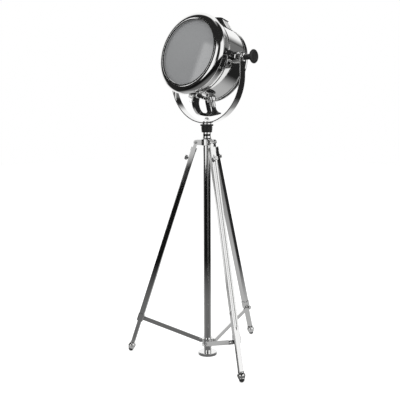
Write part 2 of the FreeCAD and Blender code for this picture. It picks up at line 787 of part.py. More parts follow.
def pivot_washers():
    """On each yoke arm, a fibre washer inside and a turned collar outside."""
    shapes = []
    for side in (1, -1):
        inside = pipe(tilt_washer_radius, stub_radius + running_fit,
                      yoke_inner - boss_end - sliding_gap,
                      V(boss_end + sliding_gap, 0, 0), X_AXIS)
        outside = turned([
            V(yoke_half_width, stub_radius + running_fit, 0),
            V(yoke_half_width, pivot_collar_radius, 0),
            V(yoke_half_width + 3, pivot_collar_radius, 0),
            (V(yoke_half_width + 6, pivot_collar_radius - 4, 0),
             V(pivot_collar_end - 3, pivot_collar_radius - 6, 0)),
            V(pivot_collar_end, pivot_collar_radius - 6, 0),
            V(pivot_collar_end, stub_radius + running_fit, 0),
        ], ORIGIN, X_AXIS)
        flip = turn(Z_AXIS, 0 if side > 0 else 180)
        at = turn(Z_AXIS, 0, V(0, 0, pivot_height))
        shapes += [placed(inside, at, flip), placed(outside, at, flip)]
    return shapes


# ======== head, in its own frame ========

def drum():
    """A spun drum, open at both ends: a front band for the bezel, beads and a knob boss."""
    inner = drum_radius - drum_wall
    bead = bead_radius
    front_bead = drum_step - 16
    rear_bead = -drum_rear + 18
    shell = turned([
        ry(inner, -drum_rear), ry(drum_radius, -drum_rear),
        ry(drum_radius, rear_bead - bead),
        (ry(drum_radius + bead, rear_bead), ry(drum_radius, rear_bead + bead)),
        ry(drum_radius, front_bead - bead),
        (ry(drum_radius + bead, front_bead), ry(drum_radius, front_bead + bead)),
        ry(drum_radius, drum_step - 6),
        (ry(drum_radius + 3.5, drum_step - 3), ry(band_radius, drum_step + 4)),
        ry(band_radius, bezel_seat), ry(band_radius - 6, bezel_seat),
        ry(band_radius - 6, bezel_seat - 3), ry(band_radius - drum_wall, bezel_seat - 3),
        ry(band_radius - drum_wall, drum_step + 6), ry(inner, drum_step - 4),
    ], ORIGIN, Y_AXIS)
    boss = placed(rod(drum_boss_radius, drum_boss_length + 12, V(0, 0, -12)), *knob_place())
    edge = placed(pipe(drum_boss_radius + 1, drum_boss_radius - 2.5, 4,
                       V(0, 0, drum_boss_length - 2)), *knob_place())
    inside = rod(inner + 0.4, 400, V(0, -200, 0), Y_AXIS)
    boss = boss.cut(inside)
    hole = placed(rod(4 + running_fit, 60, V(0, 0, -20)), *knob_place())
    vent_hole = rod(vent_hole_radius, 100, V(0, (hood_front + hood_rear) / 2, 120))
    shell = joined([shell, boss.cut(edge)])
    screw_hole = rod(screw_shank_radius + running_fit, 20, V(0, 0, -10))
    for place in band_screw_places():
        shell = shell.cut(placed(screw_hole, place))
    return shell.cut(hole).cut(vent_hole)


def knob_place():
    """Along Z, outwards from the drum: where the knob under the drum stands."""
    round_drum = turn(Y_AXIS, 180 - drum_knob_side)
    lean = turn(X_AXIS, -drum_knob_lean, V(0, drum_knob_rearward, drum_radius))
    return [round_drum, lean]


def drum_neck():
    """The bright collar and neck of the knob under the drum, with its screwed end."""
    start = drum_boss_length + sliding_gap
    end = start + drum_neck_length
    return turned([
        rz(0, start - 8), rz(4, start - 8), rz(4, start), rz(drum_neck_collar - 1, start),
        rz(drum_neck_collar, start + 1), rz(drum_neck_collar, start + 3.5),
        rz(drum_neck_collar - 1.5, start + 5), rz(drum_neck_radius, start + 5.5),
        rz(drum_neck_radius, end - 17), rz(drum_neck_radius - 2.5, end - 16),
        rz(drum_neck_radius - 2.5, end - 12), rz(5, end - 12), rz(5, end), rz(0, end),
    ])


def drum_knob():
    start = drum_boss_length + sliding_gap + drum_neck_length - 12
    knob = bell_knob(knob_neck_radius, drum_knob_radius, drum_knob_length)
    knob = placed(knob, turn(Z_AXIS, 0, V(0, 0, start)))
    return knob.cut(rod(5, 12, V(0, 0, start)))


def rear_cover():
    """A shallow dome with a rolled rim over the drum's rear edge and a raised centre."""
    inner = drum_radius + running_fit
    start = -drum_rear
    mid = rim_radius * 0.62
    wall = dome_wall
    depth = drum_rear + rim_depth + dome_depth
    shoulder = boss_disc_radius + 4
    return turned([
        ry(inner, start + rim_depth), ry(rim_radius, start + rim_depth),
        (ry(rim_radius + 2, start), ry(rim_radius - 2, start - rim_depth)),
        (ry(mid, start - rim_depth - dome_depth * 0.72), ry(shoulder, -depth + 0.6), dome_steps),
        ry(boss_disc_radius, -depth - boss_disc_depth), ry(0, -depth - boss_disc_depth),
        ry(0, -depth - boss_disc_depth + wall), ry(boss_disc_radius - 1, -depth - boss_disc_depth + wall),
        ry(shoulder - 1, -depth + 0.6 + wall),
        (ry(mid - 0.6, start - rim_depth - dome_depth * 0.72 + wall),
         ry(rim_radius - 6, start - rim_depth + wall), dome_steps),
        ry(rim_radius - 6, start), ry(inner, start),
    ], ORIGIN, Y_AXIS).cut(gland_hole())


def gland_hole():
    return rod(gland_radius - 3, 80, V(0, drum_rear - 20, -gland_down), Y_AXIS)


def bezel():
    """A spun ring, hollow behind: a round front, a lip over the lens, a seat tube for the lens
    and a flange on the drum's front band."""
    seat_back = lens_front - lens_thickness - gasket_depth - 2
    lens_bore = lens_radius + lens_gap
    skin = bezel_skin
    widest_in = bezel_radius - skin
    return turned([
        ry(lip_radius, lens_front), ry(lip_radius, lip_front),
        (ry(lip_radius + 3, lip_front + 4), ry(lip_radius + 9, bezel_front - 1)),
        (ry(bezel_crest_radius, bezel_front + 0.6), ry(bezel_crest_radius + 10, bezel_front - 5)),
        (ry(bezel_radius - 2.4, bezel_widest + 11), ry(bezel_radius, bezel_widest)),
        (ry(bezel_radius - 1.4, bezel_widest - 6), ry(bezel_rear_radius, bezel_seat + 4)),
        ry(bezel_rear_radius, bezel_seat), ry(bezel_rear_radius - 10, bezel_seat),
        ry(bezel_rear_radius - 10, bezel_seat + skin), ry(bezel_rear_radius - skin, bezel_seat + skin),
        ry(bezel_rear_radius - skin, bezel_seat + 5.5),
        (ry(widest_in - 1.2, bezel_widest - 5), ry(widest_in, bezel_widest)),
        (ry(widest_in - 2.4, bezel_widest + 9.8), ry(bezel_crest_radius + 8.6, bezel_front - 7.4)),
        (ry(bezel_crest_radius, bezel_front - skin + 0.4), ry(lens_bore + skin, bezel_front - 5)),
        ry(lens_bore + skin, seat_back), ry(lens_bore, seat_back), ry(lens_bore, lens_front),
    ], ORIGIN, Y_AXIS)


def lens():
    """A flat frosted disc with a ground edge."""
    back = lens_front - lens_thickness
    return turned([
        ry(0, back), ry(lens_radius - 0.8, back), ry(lens_radius, back + 0.8),
        ry(lens_radius, lens_front - 0.8), ry(lens_radius - 0.8, lens_front), ry(0, lens_front),
    ], ORIGIN, Y_AXIS)


def lens_gasket():
    front = lens_front - lens_thickness
    return turned([
        ry(lens_radius - gasket_width, front), ry(lens_radius, front),
        ry(lens_radius, front - gasket_depth), ry(lens_radius - gasket_width, front - gasket_depth),
    ], ORIGIN, Y_AXIS)


def reflector():
    """A spun bowl behind the lens, open at its neck for the bulb."""
    middle = (reflector_rear + reflector_front) * 0.5 - 18
    mid_radius = (reflector_mouth + reflector_neck) * 0.62
    wall = reflector_wall
    flange = band_radius - drum_wall - running_fit
    return turned([
        ry(reflector_neck, reflector_rear),
        (ry(mid_radius, middle), ry(reflector_mouth, reflector_front), dome_steps),
        ry(flange, reflector_front), ry(flange, reflector_front + wall),
        ry(reflector_mouth - 1, reflector_front + wall),
        (ry(mid_radius - 1, middle + wall * 1.4), ry(reflector_neck, reflector_rear + wall * 1.6),
         dome_steps),
    ], ORIGIN, Y_AXIS)


def bulb():
    """A round bulb with a screwed neck, on the drum's axis."""
    front = bulb_centre + bulb_radius
    shoulder = bulb_centre - math.sqrt(bulb_radius ** 2 - bulb_neck_radius ** 2)
    end = bulb_centre - 60
    return turned([
        ry(0, front), (ry(bulb_radius, bulb_centre), ry(bulb_neck_radius, shoulder), 2 * dome_steps),
        ry(bulb_neck_radius, end), ry(0, end),
    ], ORIGIN, Y_AXIS)


def lamp_socket():
    start = -bulb_centre + 16 + 44 - 26
    body = turned([
        V(bulb_neck_radius + running_fit, start, 0), V(socket_radius - 1, start, 0),
        V(socket_radius, start + 1, 0), V(socket_radius, start + socket_length - 8, 0),
        V(socket_radius - 6, start + socket_length, 0), V(0, start + socket_length, 0),
        V(0, start + 26, 0), V(bulb_neck_radius + running_fit, start + 26, 0),
    ], ORIGIN, Y_AXIS)
    return body


def socket_bracket():
    """A bent strap from the rear dome that holds the socket."""
    start = -bulb_centre + 16 + 44 - 26 + socket_length
    end = drum_rear + rim_depth + dome_depth + boss_disc_depth - dome_wall
    half = bracket_width / 2
    legs = [Part.makeBox(bracket_thickness, end - start, bracket_width, V(x, start, -half))
            for x in (-half, half - bracket_thickness)]
    front = Part.makeBox(bracket_width, bracket_thickness, bracket_width, V(-half, start, -half))
    back = Part.makeBox(bracket_width + 24, bracket_thickness, bracket_width,
                        V(-half - 12, end - bracket_thickness, -half))
    return joined(legs + [front, back])


def hood_section():
    """The hood seen from the front: a curved crown with sloping shoulders, down to the drum."""
    crown = drum_radius + hood_rise
    top = math.sqrt(crown ** 2 - hood_top_half ** 2)
    low = math.sqrt(drum_radius ** 2 - hood_low_half ** 2) + hood_lip
    base = low - 10
    return Part.Face(Part.Wire([
        line(V(-hood_low_half, 0, base), V(-hood_low_half, 0, low)),
        line(V(-hood_low_half, 0, low), V(-hood_top_half, 0, top)),
        arc(V(-hood_top_half, 0, top), V(0, 0, crown), V(hood_top_half, 0, top)),
        line(V(hood_top_half, 0, top), V(hood_low_half, 0, low)),
        line(V(hood_low_half, 0, low), V(hood_low_half, 0, base)),
        line(V(hood_low_half, 0, base), V(-hood_low_half, 0, base)),
    ]))


def vent_hood():
    """A sheet hood over the drum's vent, with louvred shoulders and a cap plate on its crown."""
    length = hood_rear - hood_front
    section = hood_section()
    outside = section.extrude(V(0, length, 0))
    outside.translate(V(0, hood_front, 0))
    inside = section.makeOffset2D(-hood_wall).extrude(V(0, length - 2 * hood_wall, 0))
    inside.translate(V(0, hood_front + hood_wall, 0))
    crown = drum_radius + hood_rise
    cap = pipe(crown + hood_cap, crown - hood_wall, length + 2 * hood_cap_overhang,
               V(0, hood_front - hood_cap_overhang, 0), Y_AXIS)
    cap_half = hood_top_half + hood_cap_overhang
    cap = cap.common(Part.makeBox(2 * cap_half, 200, 200, V(-cap_half, -20, 100)))
    hood = joined([outside, cap]).cut(inside)
    shoulder_run = hood_low_half - hood_top_half
    top = math.sqrt(crown ** 2 - hood_top_half ** 2)
    low = math.sqrt(drum_radius ** 2 - hood_low_half ** 2) + hood_lip
    slope = math.degrees(math.atan2(top - low, shoulder_run))
    shoulder = math.hypot(top - low, shoulder_run)
    pitch = (shoulder - 8) / hood_louvres
    slot = Part.makeBox(hood_louvre_gap, length - 12, 12, V(-hood_louvre_gap / 2, hood_front + 6, -6))
    for k in range(hood_louvres):
        along = 6 + pitch * (k + 0.5)
        for side in (0, 180):
            mirrored = turn(Z_AXIS, side, V(0, (hood_front + hood_rear) * (side / 180), 0))
            at = turn(Y_AXIS, slope, V(hood_top_half + along * math.cos(math.radians(slope)), 0,
                                       top - along * math.sin(math.radians(slope))))
            hood = hood.cut(placed(slot, mirrored, at))
    return hood.cut(rod(drum_radius + running_fit, 400, V(0, -200, 0), Y_AXIS))


def trunnion(side):
    """A cast bracket on the drum's side, with a turned boss, a front foot and the stub shaft."""
    skin = rod(drum_radius + pad_thickness, 400, V(0, -200, 0), Y_AXIS)
    length = pad_forward + pad_rearward
    block = Part.makeBox(60, length, 2 * pad_half_height, V(drum_radius - 40, -pad_forward, -pad_half_height))
    along = [e for e in block.Edges if abs(e.Vertexes[0].X - e.Vertexes[1].X) > 1]
    pad = block.makeFillet(pad_half_height * 0.6, along).common(skin)
    groove = boss_radius - boss_groove
    root = drum_radius - 20
    boss = turned([
        V(root, 0, 0), V(root, boss_radius, 0), V(boss_end - 19, boss_radius, 0),
        V(boss_end - 17, groove, 0), V(boss_end - 12, groove, 0),
        V(boss_end - 10, boss_radius - 1, 0), V(boss_end - 1, boss_radius - 1, 0),
        V(boss_end, boss_radius - 2, 0), V(boss_end, 0, 0),
    ], ORIGIN, X_AXIS)
    foot_boss = rod(front_foot_radius, front_foot_end - root, V(root, -front_foot_at, 0), X_AXIS)
    rib = Part.makeBox(front_foot_end - root - 4, front_foot_at, 12, V(root, -front_foot_at, -6))
    stub = rod(stub_radius, stub_end - boss_end, V(boss_end, 0, 0), X_AXIS)
    whole = joined([pad, boss, foot_boss, rib, stub])
    clear = rod(drum_radius + running_fit, 400, V(0, -200, 0), Y_AXIS)
    beads = rod(drum_radius + bead_radius + sliding_gap, 4 * bead_radius,
                V(0, -drum_step + 16 - 2 * bead_radius, 0), Y_AXIS)
    band = rod(band_radius + sliding_gap, 60, V(0, -drum_step - 54, 0), Y_AXIS)
    whole = whole.cut(clear).cut(beads).cut(band)
    return placed(whole, turn(Z_AXIS, 0)) if side > 0 else whole.mirror(ORIGIN, X_AXIS)


def tilt_knob(side):
    """A black flared knob screwed on the stub shaft."""
    knob = bell_knob(knob_neck_radius, knob_radius, knob_length)
    neck = rod(knob_neck_radius + 2, tilt_knob_start - pivot_collar_end - sliding_gap,
               V(0, 0, pivot_collar_end - tilt_knob_start + sliding_gap))
    hole = rod(stub_radius + running_fit, stub_end - pivot_collar_end + 1,
               V(0, 0, pivot_collar_end - tilt_knob_start))
    shape = joined([knob, neck]).cut(hole)
    shape = placed(shape, turn(Y_AXIS, 90, V(tilt_knob_start, 0, 0)))
    return shape if side > 0 else shape.mirror(ORIGIN, X_AXIS)


def steering_handle():
    """A cast loop handle under the drum: a broad front arm, a curved lower run that follows a
    circle about the tilt axis, and a slender rear arm."""
    top = -drum_radius - 0.6
    half = handle_thickness / 2
    outer = handle_reach
    inner = handle_reach - handle_bar

    def on_circle(radius, y):
        return V(-half, y, -math.sqrt(radius ** 2 - y ** 2))
    front = -50.0
    rear = 84.0
    outside = [
        line(V(-half, front, top), V(-half, front - 2, top - 30)),
        arc(V(-half, front - 2, top - 30), V(-half, front + 12, top - 62), on_circle(outer, 12)),
        arc(on_circle(outer, 12), on_circle(outer, 44), on_circle(outer, rear - 8)),
        arc(on_circle(outer, rear - 8), V(-half, rear + 1, -outer + 19), V(-half, rear, -inner + 21)),
        line(V(-half, rear, -inner + 21), V(-half, 52, top)),
        line(V(-half, 52, top), V(-half, front, top)),
    ]
    body = Part.Face(Part.Wire(outside)).extrude(V(handle_thickness, 0, 0))
    hole_top = top - 9
    hole = [
        line(V(-half, -14, hole_top), V(-half, -15, hole_top - 20)),
        arc(V(-half, -15, hole_top - 20), V(-half, -2, hole_top - 46), on_circle(inner, 26)),
        arc(on_circle(inner, 26), on_circle(inner, 44), on_circle(inner, 62)),
        line(on_circle(inner, 62), V(-half, 68, -inner + 17)),
        line(V(-half, 68, -inner + 17), V(-half, 40, hole_top)),
        line(V(-half, 40, hole_top), V(-half, -14, hole_top)),
    ]
    window = Part.Face(Part.Wire(hole)).extrude(V(handle_thickness, 0, 0))
    loop = body.cut(window)
    bead_place = V(0, -drum_step + 16 - bead_radius - sliding_gap, 0)
    bead_gap = rod(drum_radius + bead_radius + sliding_gap, 2 * (bead_radius + sliding_gap),
                   bead_place, Y_AXIS)
    return loop.cut(rod(drum_radius + running_fit, 400, V(0, -200, 0), Y_AXIS)).cut(bead_gap)


def handle_clamp():
    """The block under the drum's front band that the handle's front arm is bolted to,
    with a pair of wing screws."""
    half = handle_thickness / 2 + sliding_gap
    front = -50.0 - 2.5
    block = Part.makeBox(clamp_block_width * 2 - 8, clamp_block_length, clamp_block_height + 8,
                         V(-clamp_block_width + 4, front - 10, -drum_radius - clamp_block_height))
    upright = [e for e in block.Edges if abs(e.Vertexes[0].Z - e.Vertexes[1].Z) > 1]
    block = block.makeFillet(5, upright)
    gap = Part.makeBox(2 * half, 80, 60, V(-half, front - 0.3, -drum_radius - 50))
    block = block.cut(gap)
    drop = Part.makeBox(16, 13, 40, V(-8, front - 14, -drum_radius - 42))
    lower = [e for e in drop.Edges if abs(e.Vertexes[0].Z - e.Vertexes[1].Z) > 1]
    drop = drop.makeFillet(3, lower)
    wings = [rod(8, 5, V(x, front + 12, -drum_radius - clamp_block_height + 2), V(0, 0, -1))
             for x in (-clamp_block_width + 14, clamp_block_width - 14)]
    block = joined([block, drop] + wings)
    block = block.cut(rod(drum_radius + running_fit, 400, V(0, -200, 0), Y_AXIS))
    step = rod(drum_radius + bead_radius + sliding_gap, 4 * bead_radius,
               V(0, -drum_step + 16 - 2 * bead_radius, 0), Y_AXIS)
    band = rod(band_radius + sliding_gap, 60, V(0, -drum_step - 54, 0), Y_AXIS)
    return block.cut(step).cut(band)


def head_screws():
    """Round-head screws: round the front band, round the rear rim and on the trunnion feet."""
    screw = domed_screw(screw_head_radius, screw_head_height, screw_shank_radius, screw_shank_length)
    return [placed(screw, place) for place in band_screw_places()]


def band_screw_places():
    """Along Z, outwards from the drum's front band: where its screws stand."""
    out = V(0, 0, band_radius + 0.1)
    turns = [turn(Y_AXIS, 360 / band_screws * (k + 0.5)) for k in range(band_screws)]
    back = turn(Z_AXIS, 0, V(0, -bezel_seat + band_screw_back, 0))
    return [back.multiply(t).multiply(turn(Z_AXIS, 0, out)) for t in turns]


def cable_gland():
    """The threaded inlet in the rear dome for the flexible lead."""
    wall_at = drum_rear + rim_depth + 9
    nut_lift = 1.3
    hexagon = [V(gland_radius * 1.2 * math.cos(math.radians(a)), 0,
                 gland_radius * 1.2 * math.sin(math.radians(a))) for a in range(0, 361, 60)]
    nut = Part.Face(Part.makePolygon(hexagon)).extrude(V(0, 7 - nut_lift, 0))
    nut = placed(nut, turn(Z_AXIS, 0, V(0, wall_at + 14 + nut_lift, 0)))
    body = turned([
        V(gland_bore, wall_at - 6, 0), V(gland_radius - 3 - running_fit, wall_at - 6, 0),
        V(gland_radius - 3 - running_fit, wall_at + 14 + nut_lift, 0),
        V(gland_radius, wall_at + 14 + nut_lift, 0),
        V(gland_radius, wall_at + 21, 0), V(gland_radius - 2, wall_at + 26, 0),
        V(gland_bore + 1.2, wall_at + 26 + 2, 0), V(gland_bore, wall_at + 26 + 2, 0),
    ], ORIGIN, Y_AXIS)
    gland = joined([body, nut]).cut(rod(gland_bore, 60, V(0, wall_at - 10, 0), Y_AXIS))
    return placed(gland, turn(Z_AXIS, 0, V(0, 0, -gland_down)))


# ======== write every piece ========

write("column_tube", column_tube())
write("base_disc", base_disc())
write("leg_hub", leg_hub())
write("hub_bolts", hub_bolts())
write("hub_stem", hub_stem())
write("stem_grip", stem_grip())

for_each_leg("leg_head", leg_head())
for_each_leg("leg_tube", leg_tube())
for_each_leg("leg_inner", leg_inner())
for_each_leg("foot", joined([foot(), foot_plug()]))
for_each_leg("foot_pad", foot_pad())
for_each_leg("leg_screw", thumb_screw())
for_each_leg("strut_clamp", strut_clamp())
for name, azimuth in zip(leg_names, leg_azimuths):
    write("strut_" + name, placed(strut(), *strut_place(azimuth)))
    write("strut_bolt_" + name, placed(strut_bolt(), *strut_place(azimuth)))

write("strut_collar", strut_collar())
write("collar_bolts", collar_bolts())
write("collar_screw", collar_screw())

write("yoke", yoke())
write("yoke_spindle", yoke_spindle())
write("spindle_nut", spindle_nut())
write("pivot_washers", pivot_washers())

write("drum", placed(drum(), HEAD))
write("rear_cover", placed(rear_cover(), HEAD))
write("bezel", placed(bezel(), HEAD))
write("lens", placed(lens(), HEAD))
write("lens_gasket", placed(lens_gasket(), HEAD))
write("reflector", placed(reflector(), HEAD))
write("bulb", placed(bulb(), HEAD))
write("lamp_socket", placed(lamp_socket(), HEAD))
write("socket_bracket", placed(socket_bracket(), HEAD))
write("vent_hood", placed(vent_hood(), HEAD))
write("trunnion_right", placed(trunnion(1), HEAD))
write("trunnion_left", placed(trunnion(-1), HEAD))
write("steering_handle", placed(steering_handle(), HEAD))
write("handle_clamp", placed(handle_clamp(), HEAD))
write("head_screws", [placed(s, HEAD) for s in head_screws()])
write("cable_gland", placed(cable_gland(), HEAD))
write("tilt_knob_right", placed(tilt_knob(1), HEAD))
write("tilt_knob_left", placed(tilt_knob(-1), HEAD))
write("drum_neck", placed(drum_neck(), HEAD, *knob_place()))
write("drum_knob", placed(drum_knob(), HEAD, *knob_place()))
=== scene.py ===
"""Looks for a tripod spotlight floor lamp, laid out as an add-on and run as a script.

Lengths are in metres in the lamp's own frame: +Z up, the drum facing -Y, the origin on the floor
at the centre of the base disc.
"""

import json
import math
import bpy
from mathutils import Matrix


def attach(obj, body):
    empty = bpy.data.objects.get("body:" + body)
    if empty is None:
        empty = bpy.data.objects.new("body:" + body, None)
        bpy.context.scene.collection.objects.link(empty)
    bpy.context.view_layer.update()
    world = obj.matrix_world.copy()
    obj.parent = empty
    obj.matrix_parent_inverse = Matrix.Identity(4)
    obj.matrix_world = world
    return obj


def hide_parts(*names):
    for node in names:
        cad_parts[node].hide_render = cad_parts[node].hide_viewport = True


bl_info = {
    "name": "Tripod spotlight lamp",
    "version": (1, 0, 0),
    "blender": (4, 5, 0),
    "location": "View3D > Sidebar > Lamp",
    "description": "Builds the polished surfaces, finishes and studio of a tripod spotlight lamp",
    "category": "Object",
}

from collections import namedtuple

import bmesh
import bpy
import numpy as np
from mathutils import Matrix, Vector

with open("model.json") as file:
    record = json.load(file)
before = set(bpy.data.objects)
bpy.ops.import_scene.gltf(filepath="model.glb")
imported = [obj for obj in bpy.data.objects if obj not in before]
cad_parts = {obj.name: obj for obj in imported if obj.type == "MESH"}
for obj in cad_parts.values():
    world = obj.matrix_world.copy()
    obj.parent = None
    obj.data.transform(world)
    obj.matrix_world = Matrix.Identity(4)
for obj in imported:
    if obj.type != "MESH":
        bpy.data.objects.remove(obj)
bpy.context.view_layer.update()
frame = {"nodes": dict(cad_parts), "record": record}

TURN = 2 * math.pi


# ======== sizes and colours that a user would change ========

def length(name, value, about):
    return bpy.props.FloatProperty(name=name, description=about, default=value, min=0.0,
                                   precision=4, unit="LENGTH", subtype="DISTANCE")


def angle(name, degrees, about):
    return bpy.props.FloatProperty(name=name, description=about, default=math.radians(degrees),
                                   unit="ROTATION", subtype="ANGLE")


def colour(name, value, about):
    return bpy.props.FloatVectorProperty(name=name, description=about, default=value, size=4,
                                         min=0.0, max=1.0, subtype="COLOR")


def share(name, value, about):
    return bpy.props.FloatProperty(name=name, description=about, default=value, min=0.0, max=1.0,
                                   subtype="FACTOR")


class LampHeadSizes(bpy.types.PropertyGroup):
    """Sizes of the drum and of what is on it."""
    pivot_height: length("Tilt axis height", 1.473, "Height of the tilt axis above the floor")
    tilt: angle("Tilt", 13.5, "How far the drum is tilted back at rest")
    drum_radius: length("Drum radius", 0.180, "Outer radius of the drum")
    drum_wall: length("Drum wall", 0.0014, "Thickness of the drum's sheet")
    drum_rear: length("Drum rear", 0.084, "Rear edge of the drum, behind the tilt axis")
    drum_step: length("Band start", 0.066, "Start of the front band, ahead of the tilt axis")
    band_radius: length("Band radius", 0.186, "Radius of the front band")
    bezel_seat: length("Bezel seat", 0.101, "Front face of the band, ahead of the tilt axis")
    bead_radius: length("Bead radius", 0.0025, "Radius of the rolled beads round the drum")
    rear_bead_inset: length("Rear bead inset", 0.018, "From the drum's rear edge to a bead")
    front_bead_inset: length("Front bead inset", 0.016, "From the band back to a bead")
    bezel_radius: length("Bezel radius", 0.197, "Widest radius of the bezel")
    bezel_front: length("Bezel front", 0.138, "Crest of the bezel, ahead of the tilt axis")
    lip_radius: length("Lip radius", 0.1565, "Inner radius of the lip over the lens")
    crest_inset: length("Crest inset", 0.0085, "From the lip out to the bezel's crest")
    lens_radius: length("Lens radius", 0.162, "Radius of the lens")
    lens_front: length("Lens front", 0.1275, "Front face of the lens, ahead of the tilt axis")
    lens_thickness: length("Lens thickness", 0.004, "Thickness of the lens")
    rim_radius: length("Rear rim radius", 0.183, "Radius of the rolled rim of the rear cover")
    rim_depth: length("Rear rim depth", 0.006, "Half the length of the rolled rim")
    dome_depth: length("Dome depth", 0.030, "Depth of the rear dome")
    cover_wall: length("Cover wall", 0.0013, "Thickness of the rear cover")
    boss_radius: length("Dome boss radius", 0.034, "Radius of the raised middle of the dome")
    boss_height: length("Dome boss height", 0.005, "Height of the raised middle of the dome")
    tilt_knob_at: length("Tilt knob place", 0.2495, "Inner end of a tilt knob, from the middle")
    tilt_knob_radius: length("Tilt knob radius", 0.031, "Rim radius of a tilt knob")
    tilt_knob_length: length("Tilt knob length", 0.042, "Length of a tilt knob")
    tilt_knob_neck: length("Tilt knob neck", 0.013, "Neck radius and hub length of a tilt knob")
    low_knob_round: angle("Lower knob round", 170, "How far round the drum the lower knob is")
    low_knob_lean: angle("Lower knob lean", -21, "Lean of the lower knob along the drum")
    low_knob_rear: length("Lower knob place", 0.043, "Lower knob, behind the tilt axis")
    low_knob_radius: length("Lower knob radius", 0.0295, "Rim radius of the lower knob")
    low_knob_length: length("Lower knob length", 0.040, "Length of the lower knob")
    low_knob_neck: length("Lower knob neck", 0.011, "Neck radius of the lower knob")
    low_boss_height: length("Lower boss height", 0.014, "Height of the boss under the drum")
    seat_gap: length("Seat gap", 0.0003, "Gap between a piece and its seat")


class LampStandSizes(bpy.types.PropertyGroup):
    """Sizes of the yoke, grip, column and base."""
    yoke_half_width: length("Yoke half width", 0.223, "Outer half width of the yoke")
    yoke_strip: length("Yoke strip", 0.005, "Thickness of the yoke's strip")
    yoke_width: length("Yoke width", 0.038, "Width of the yoke's strip")
    yoke_bottom: length("Yoke bottom", 1.170, "Height of the underside of the yoke")
    column_radius: length("Column radius", 0.01905, "Radius of the column")
    column_top: length("Column top", 1.064, "Where the column enters the hub")
    column_wall: length("Column wall", 0.0016, "Wall of the column")
    column_in_hub: length("Column in hub", 0.020, "How far the column reaches into the hub")
    base_radius: length("Base radius", 0.047, "Radius of the base disc")
    base_height: length("Base height", 0.015, "Height of the base disc")
    grip_bottom: length("Grip bottom", 1.126, "Lower end of the grip")
    grip_top: length("Grip top", 1.166, "Upper end of the grip")
    grip_low_radius: length("Grip low radius", 0.0255, "Radius of the grip's lower end")
    grip_neck_radius: length("Grip neck radius", 0.028, "Radius of the grip under its lip")
    grip_lip_radius: length("Grip lip radius", 0.032, "Radius of the grip's lip")
    grip_lip_height: length("Grip lip height", 0.009, "Height of the grip's lip")
    grip_bore: length("Grip bore", 0.0151, "Radius of the grip's bore round the stem")


class LampTripodSizes(bpy.types.PropertyGroup):
    """Sizes of the legs, feet and struts."""
    turn: angle("Tripod turn", 4.1, "Turn of the tripod about the column")
    spread: angle("Leg spread", 18.1, "Angle of a leg from upright")
    pivot_radius: length("Leg pivot radius", 0.053, "From the column's axis to a leg's pivot")
    pivot_height: length("Leg pivot height", 1.0775, "Height of the legs' pivots")
    tube_width: length("Leg width", 0.029, "Width of a leg across the spread")
    tube_depth: length("Leg depth", 0.026, "Depth of a leg along the spread")
    tube_wall: length("Leg wall", 0.0013, "Wall of a leg tube")
    tube_start: length("Leg tube start", 0.030, "Top of the leg tube, below its pivot")
    tube_end: length("Leg tube end", 0.957, "Bottom of the leg tube, below its pivot")
    slot_start: length("Slot start", 0.070, "Top of the slot, below the pivot")
    slot_end: length("Slot end", 0.887, "Bottom of the slot, below the pivot")
    slot_width: length("Slot width", 0.009, "Width of the slot")
    inner_width: length("Inner leg width", 0.022, "Width of the inner leg")
    inner_depth: length("Inner leg depth", 0.019, "Depth of the inner leg")
    inner_start: length("Inner leg start", 0.072, "Top of the inner leg, below the pivot")
    inner_end: length("Inner leg end", 1.084, "Bottom of the inner leg, below the pivot")
    foot_bell_at: length("Foot bell place", 1.114, "Lower edge of the foot, below the pivot")
    foot_top_radius: length("Foot top radius", 0.0155, "Radius of the foot's upper end")
    foot_waist_radius: length("Foot waist radius", 0.016, "Radius at the groove of the foot")
    foot_rim_radius: length("Foot rim radius", 0.0165, "Radius at the lower edge of the foot")
    foot_swell: length("Foot swell", 0.003, "How far the foot swells between the two")
    pad_radius: length("Foot pad radius", 0.013, "Radius of the rubber foot pad")


class LampFinishes(bpy.types.PropertyGroup):
    """Colours of the finishes."""
    plate: colour("Bright plate", (0.90, 0.90, 0.895, 1), "Colour of the polished plate")
    plate_roughness: share("Plate roughness", 0.045, "Roughness of the polished plate")
    black: colour("Black mouldings", (0.018, 0.018, 0.018, 1), "Colour of the knobs and the grip")
    rubber: colour("Rubber", (0.022, 0.022, 0.022, 1), "Colour of the foot pads and gasket")
    frost: colour("Frosted glass", (0.32, 0.325, 0.33, 1), "Colour of the frosted lens")
    aluminium: colour("Aluminium", (0.80, 0.80, 0.81, 1), "Colour of the reflector")
    opal: colour("Opal glass", (0.86, 0.86, 0.84, 1), "Colour of the bulb")
    zinc: colour("Zinc plate", (0.50, 0.50, 0.49, 1), "Colour of the hidden steel fittings")


class LampStudio(bpy.types.PropertyGroup):
    """The camera and the light."""
    eye: bpy.props.FloatVectorProperty(
        name="Camera place", description="Where the camera stands",
        default=(2.1381, -2.4257, 1.1744), subtype="XYZ", unit="LENGTH")
    look: bpy.props.FloatVectorProperty(
        name="Camera direction", description="The way the camera looks",
        default=(-0.66474, 0.73778, -0.11751), subtype="DIRECTION")
    roll: angle("Camera roll", -0.28, "Roll of the camera about its line of sight")
    lens: bpy.props.FloatProperty(name="Focal length", description="On a 36 mm wide sensor",
                                  default=58.95, min=1.0, unit="CAMERA")
    floor_half: length("Floor half width", 14.0, "Half the width of the floor")
    fill: share("Fill light", 0.75, "Brightness of the surroundings on diffuse surfaces")
    floor: share("Floor grey", 0.72, "Reflectance of the floor")


# ======== meshes ========

def moved(points, place):
    """Points carried by a 4x4 matrix."""
    m = np.array(place, float)
    return points @ m[:3, :3].T + m[:3, 3]


SHARP_FROM = math.radians(32)


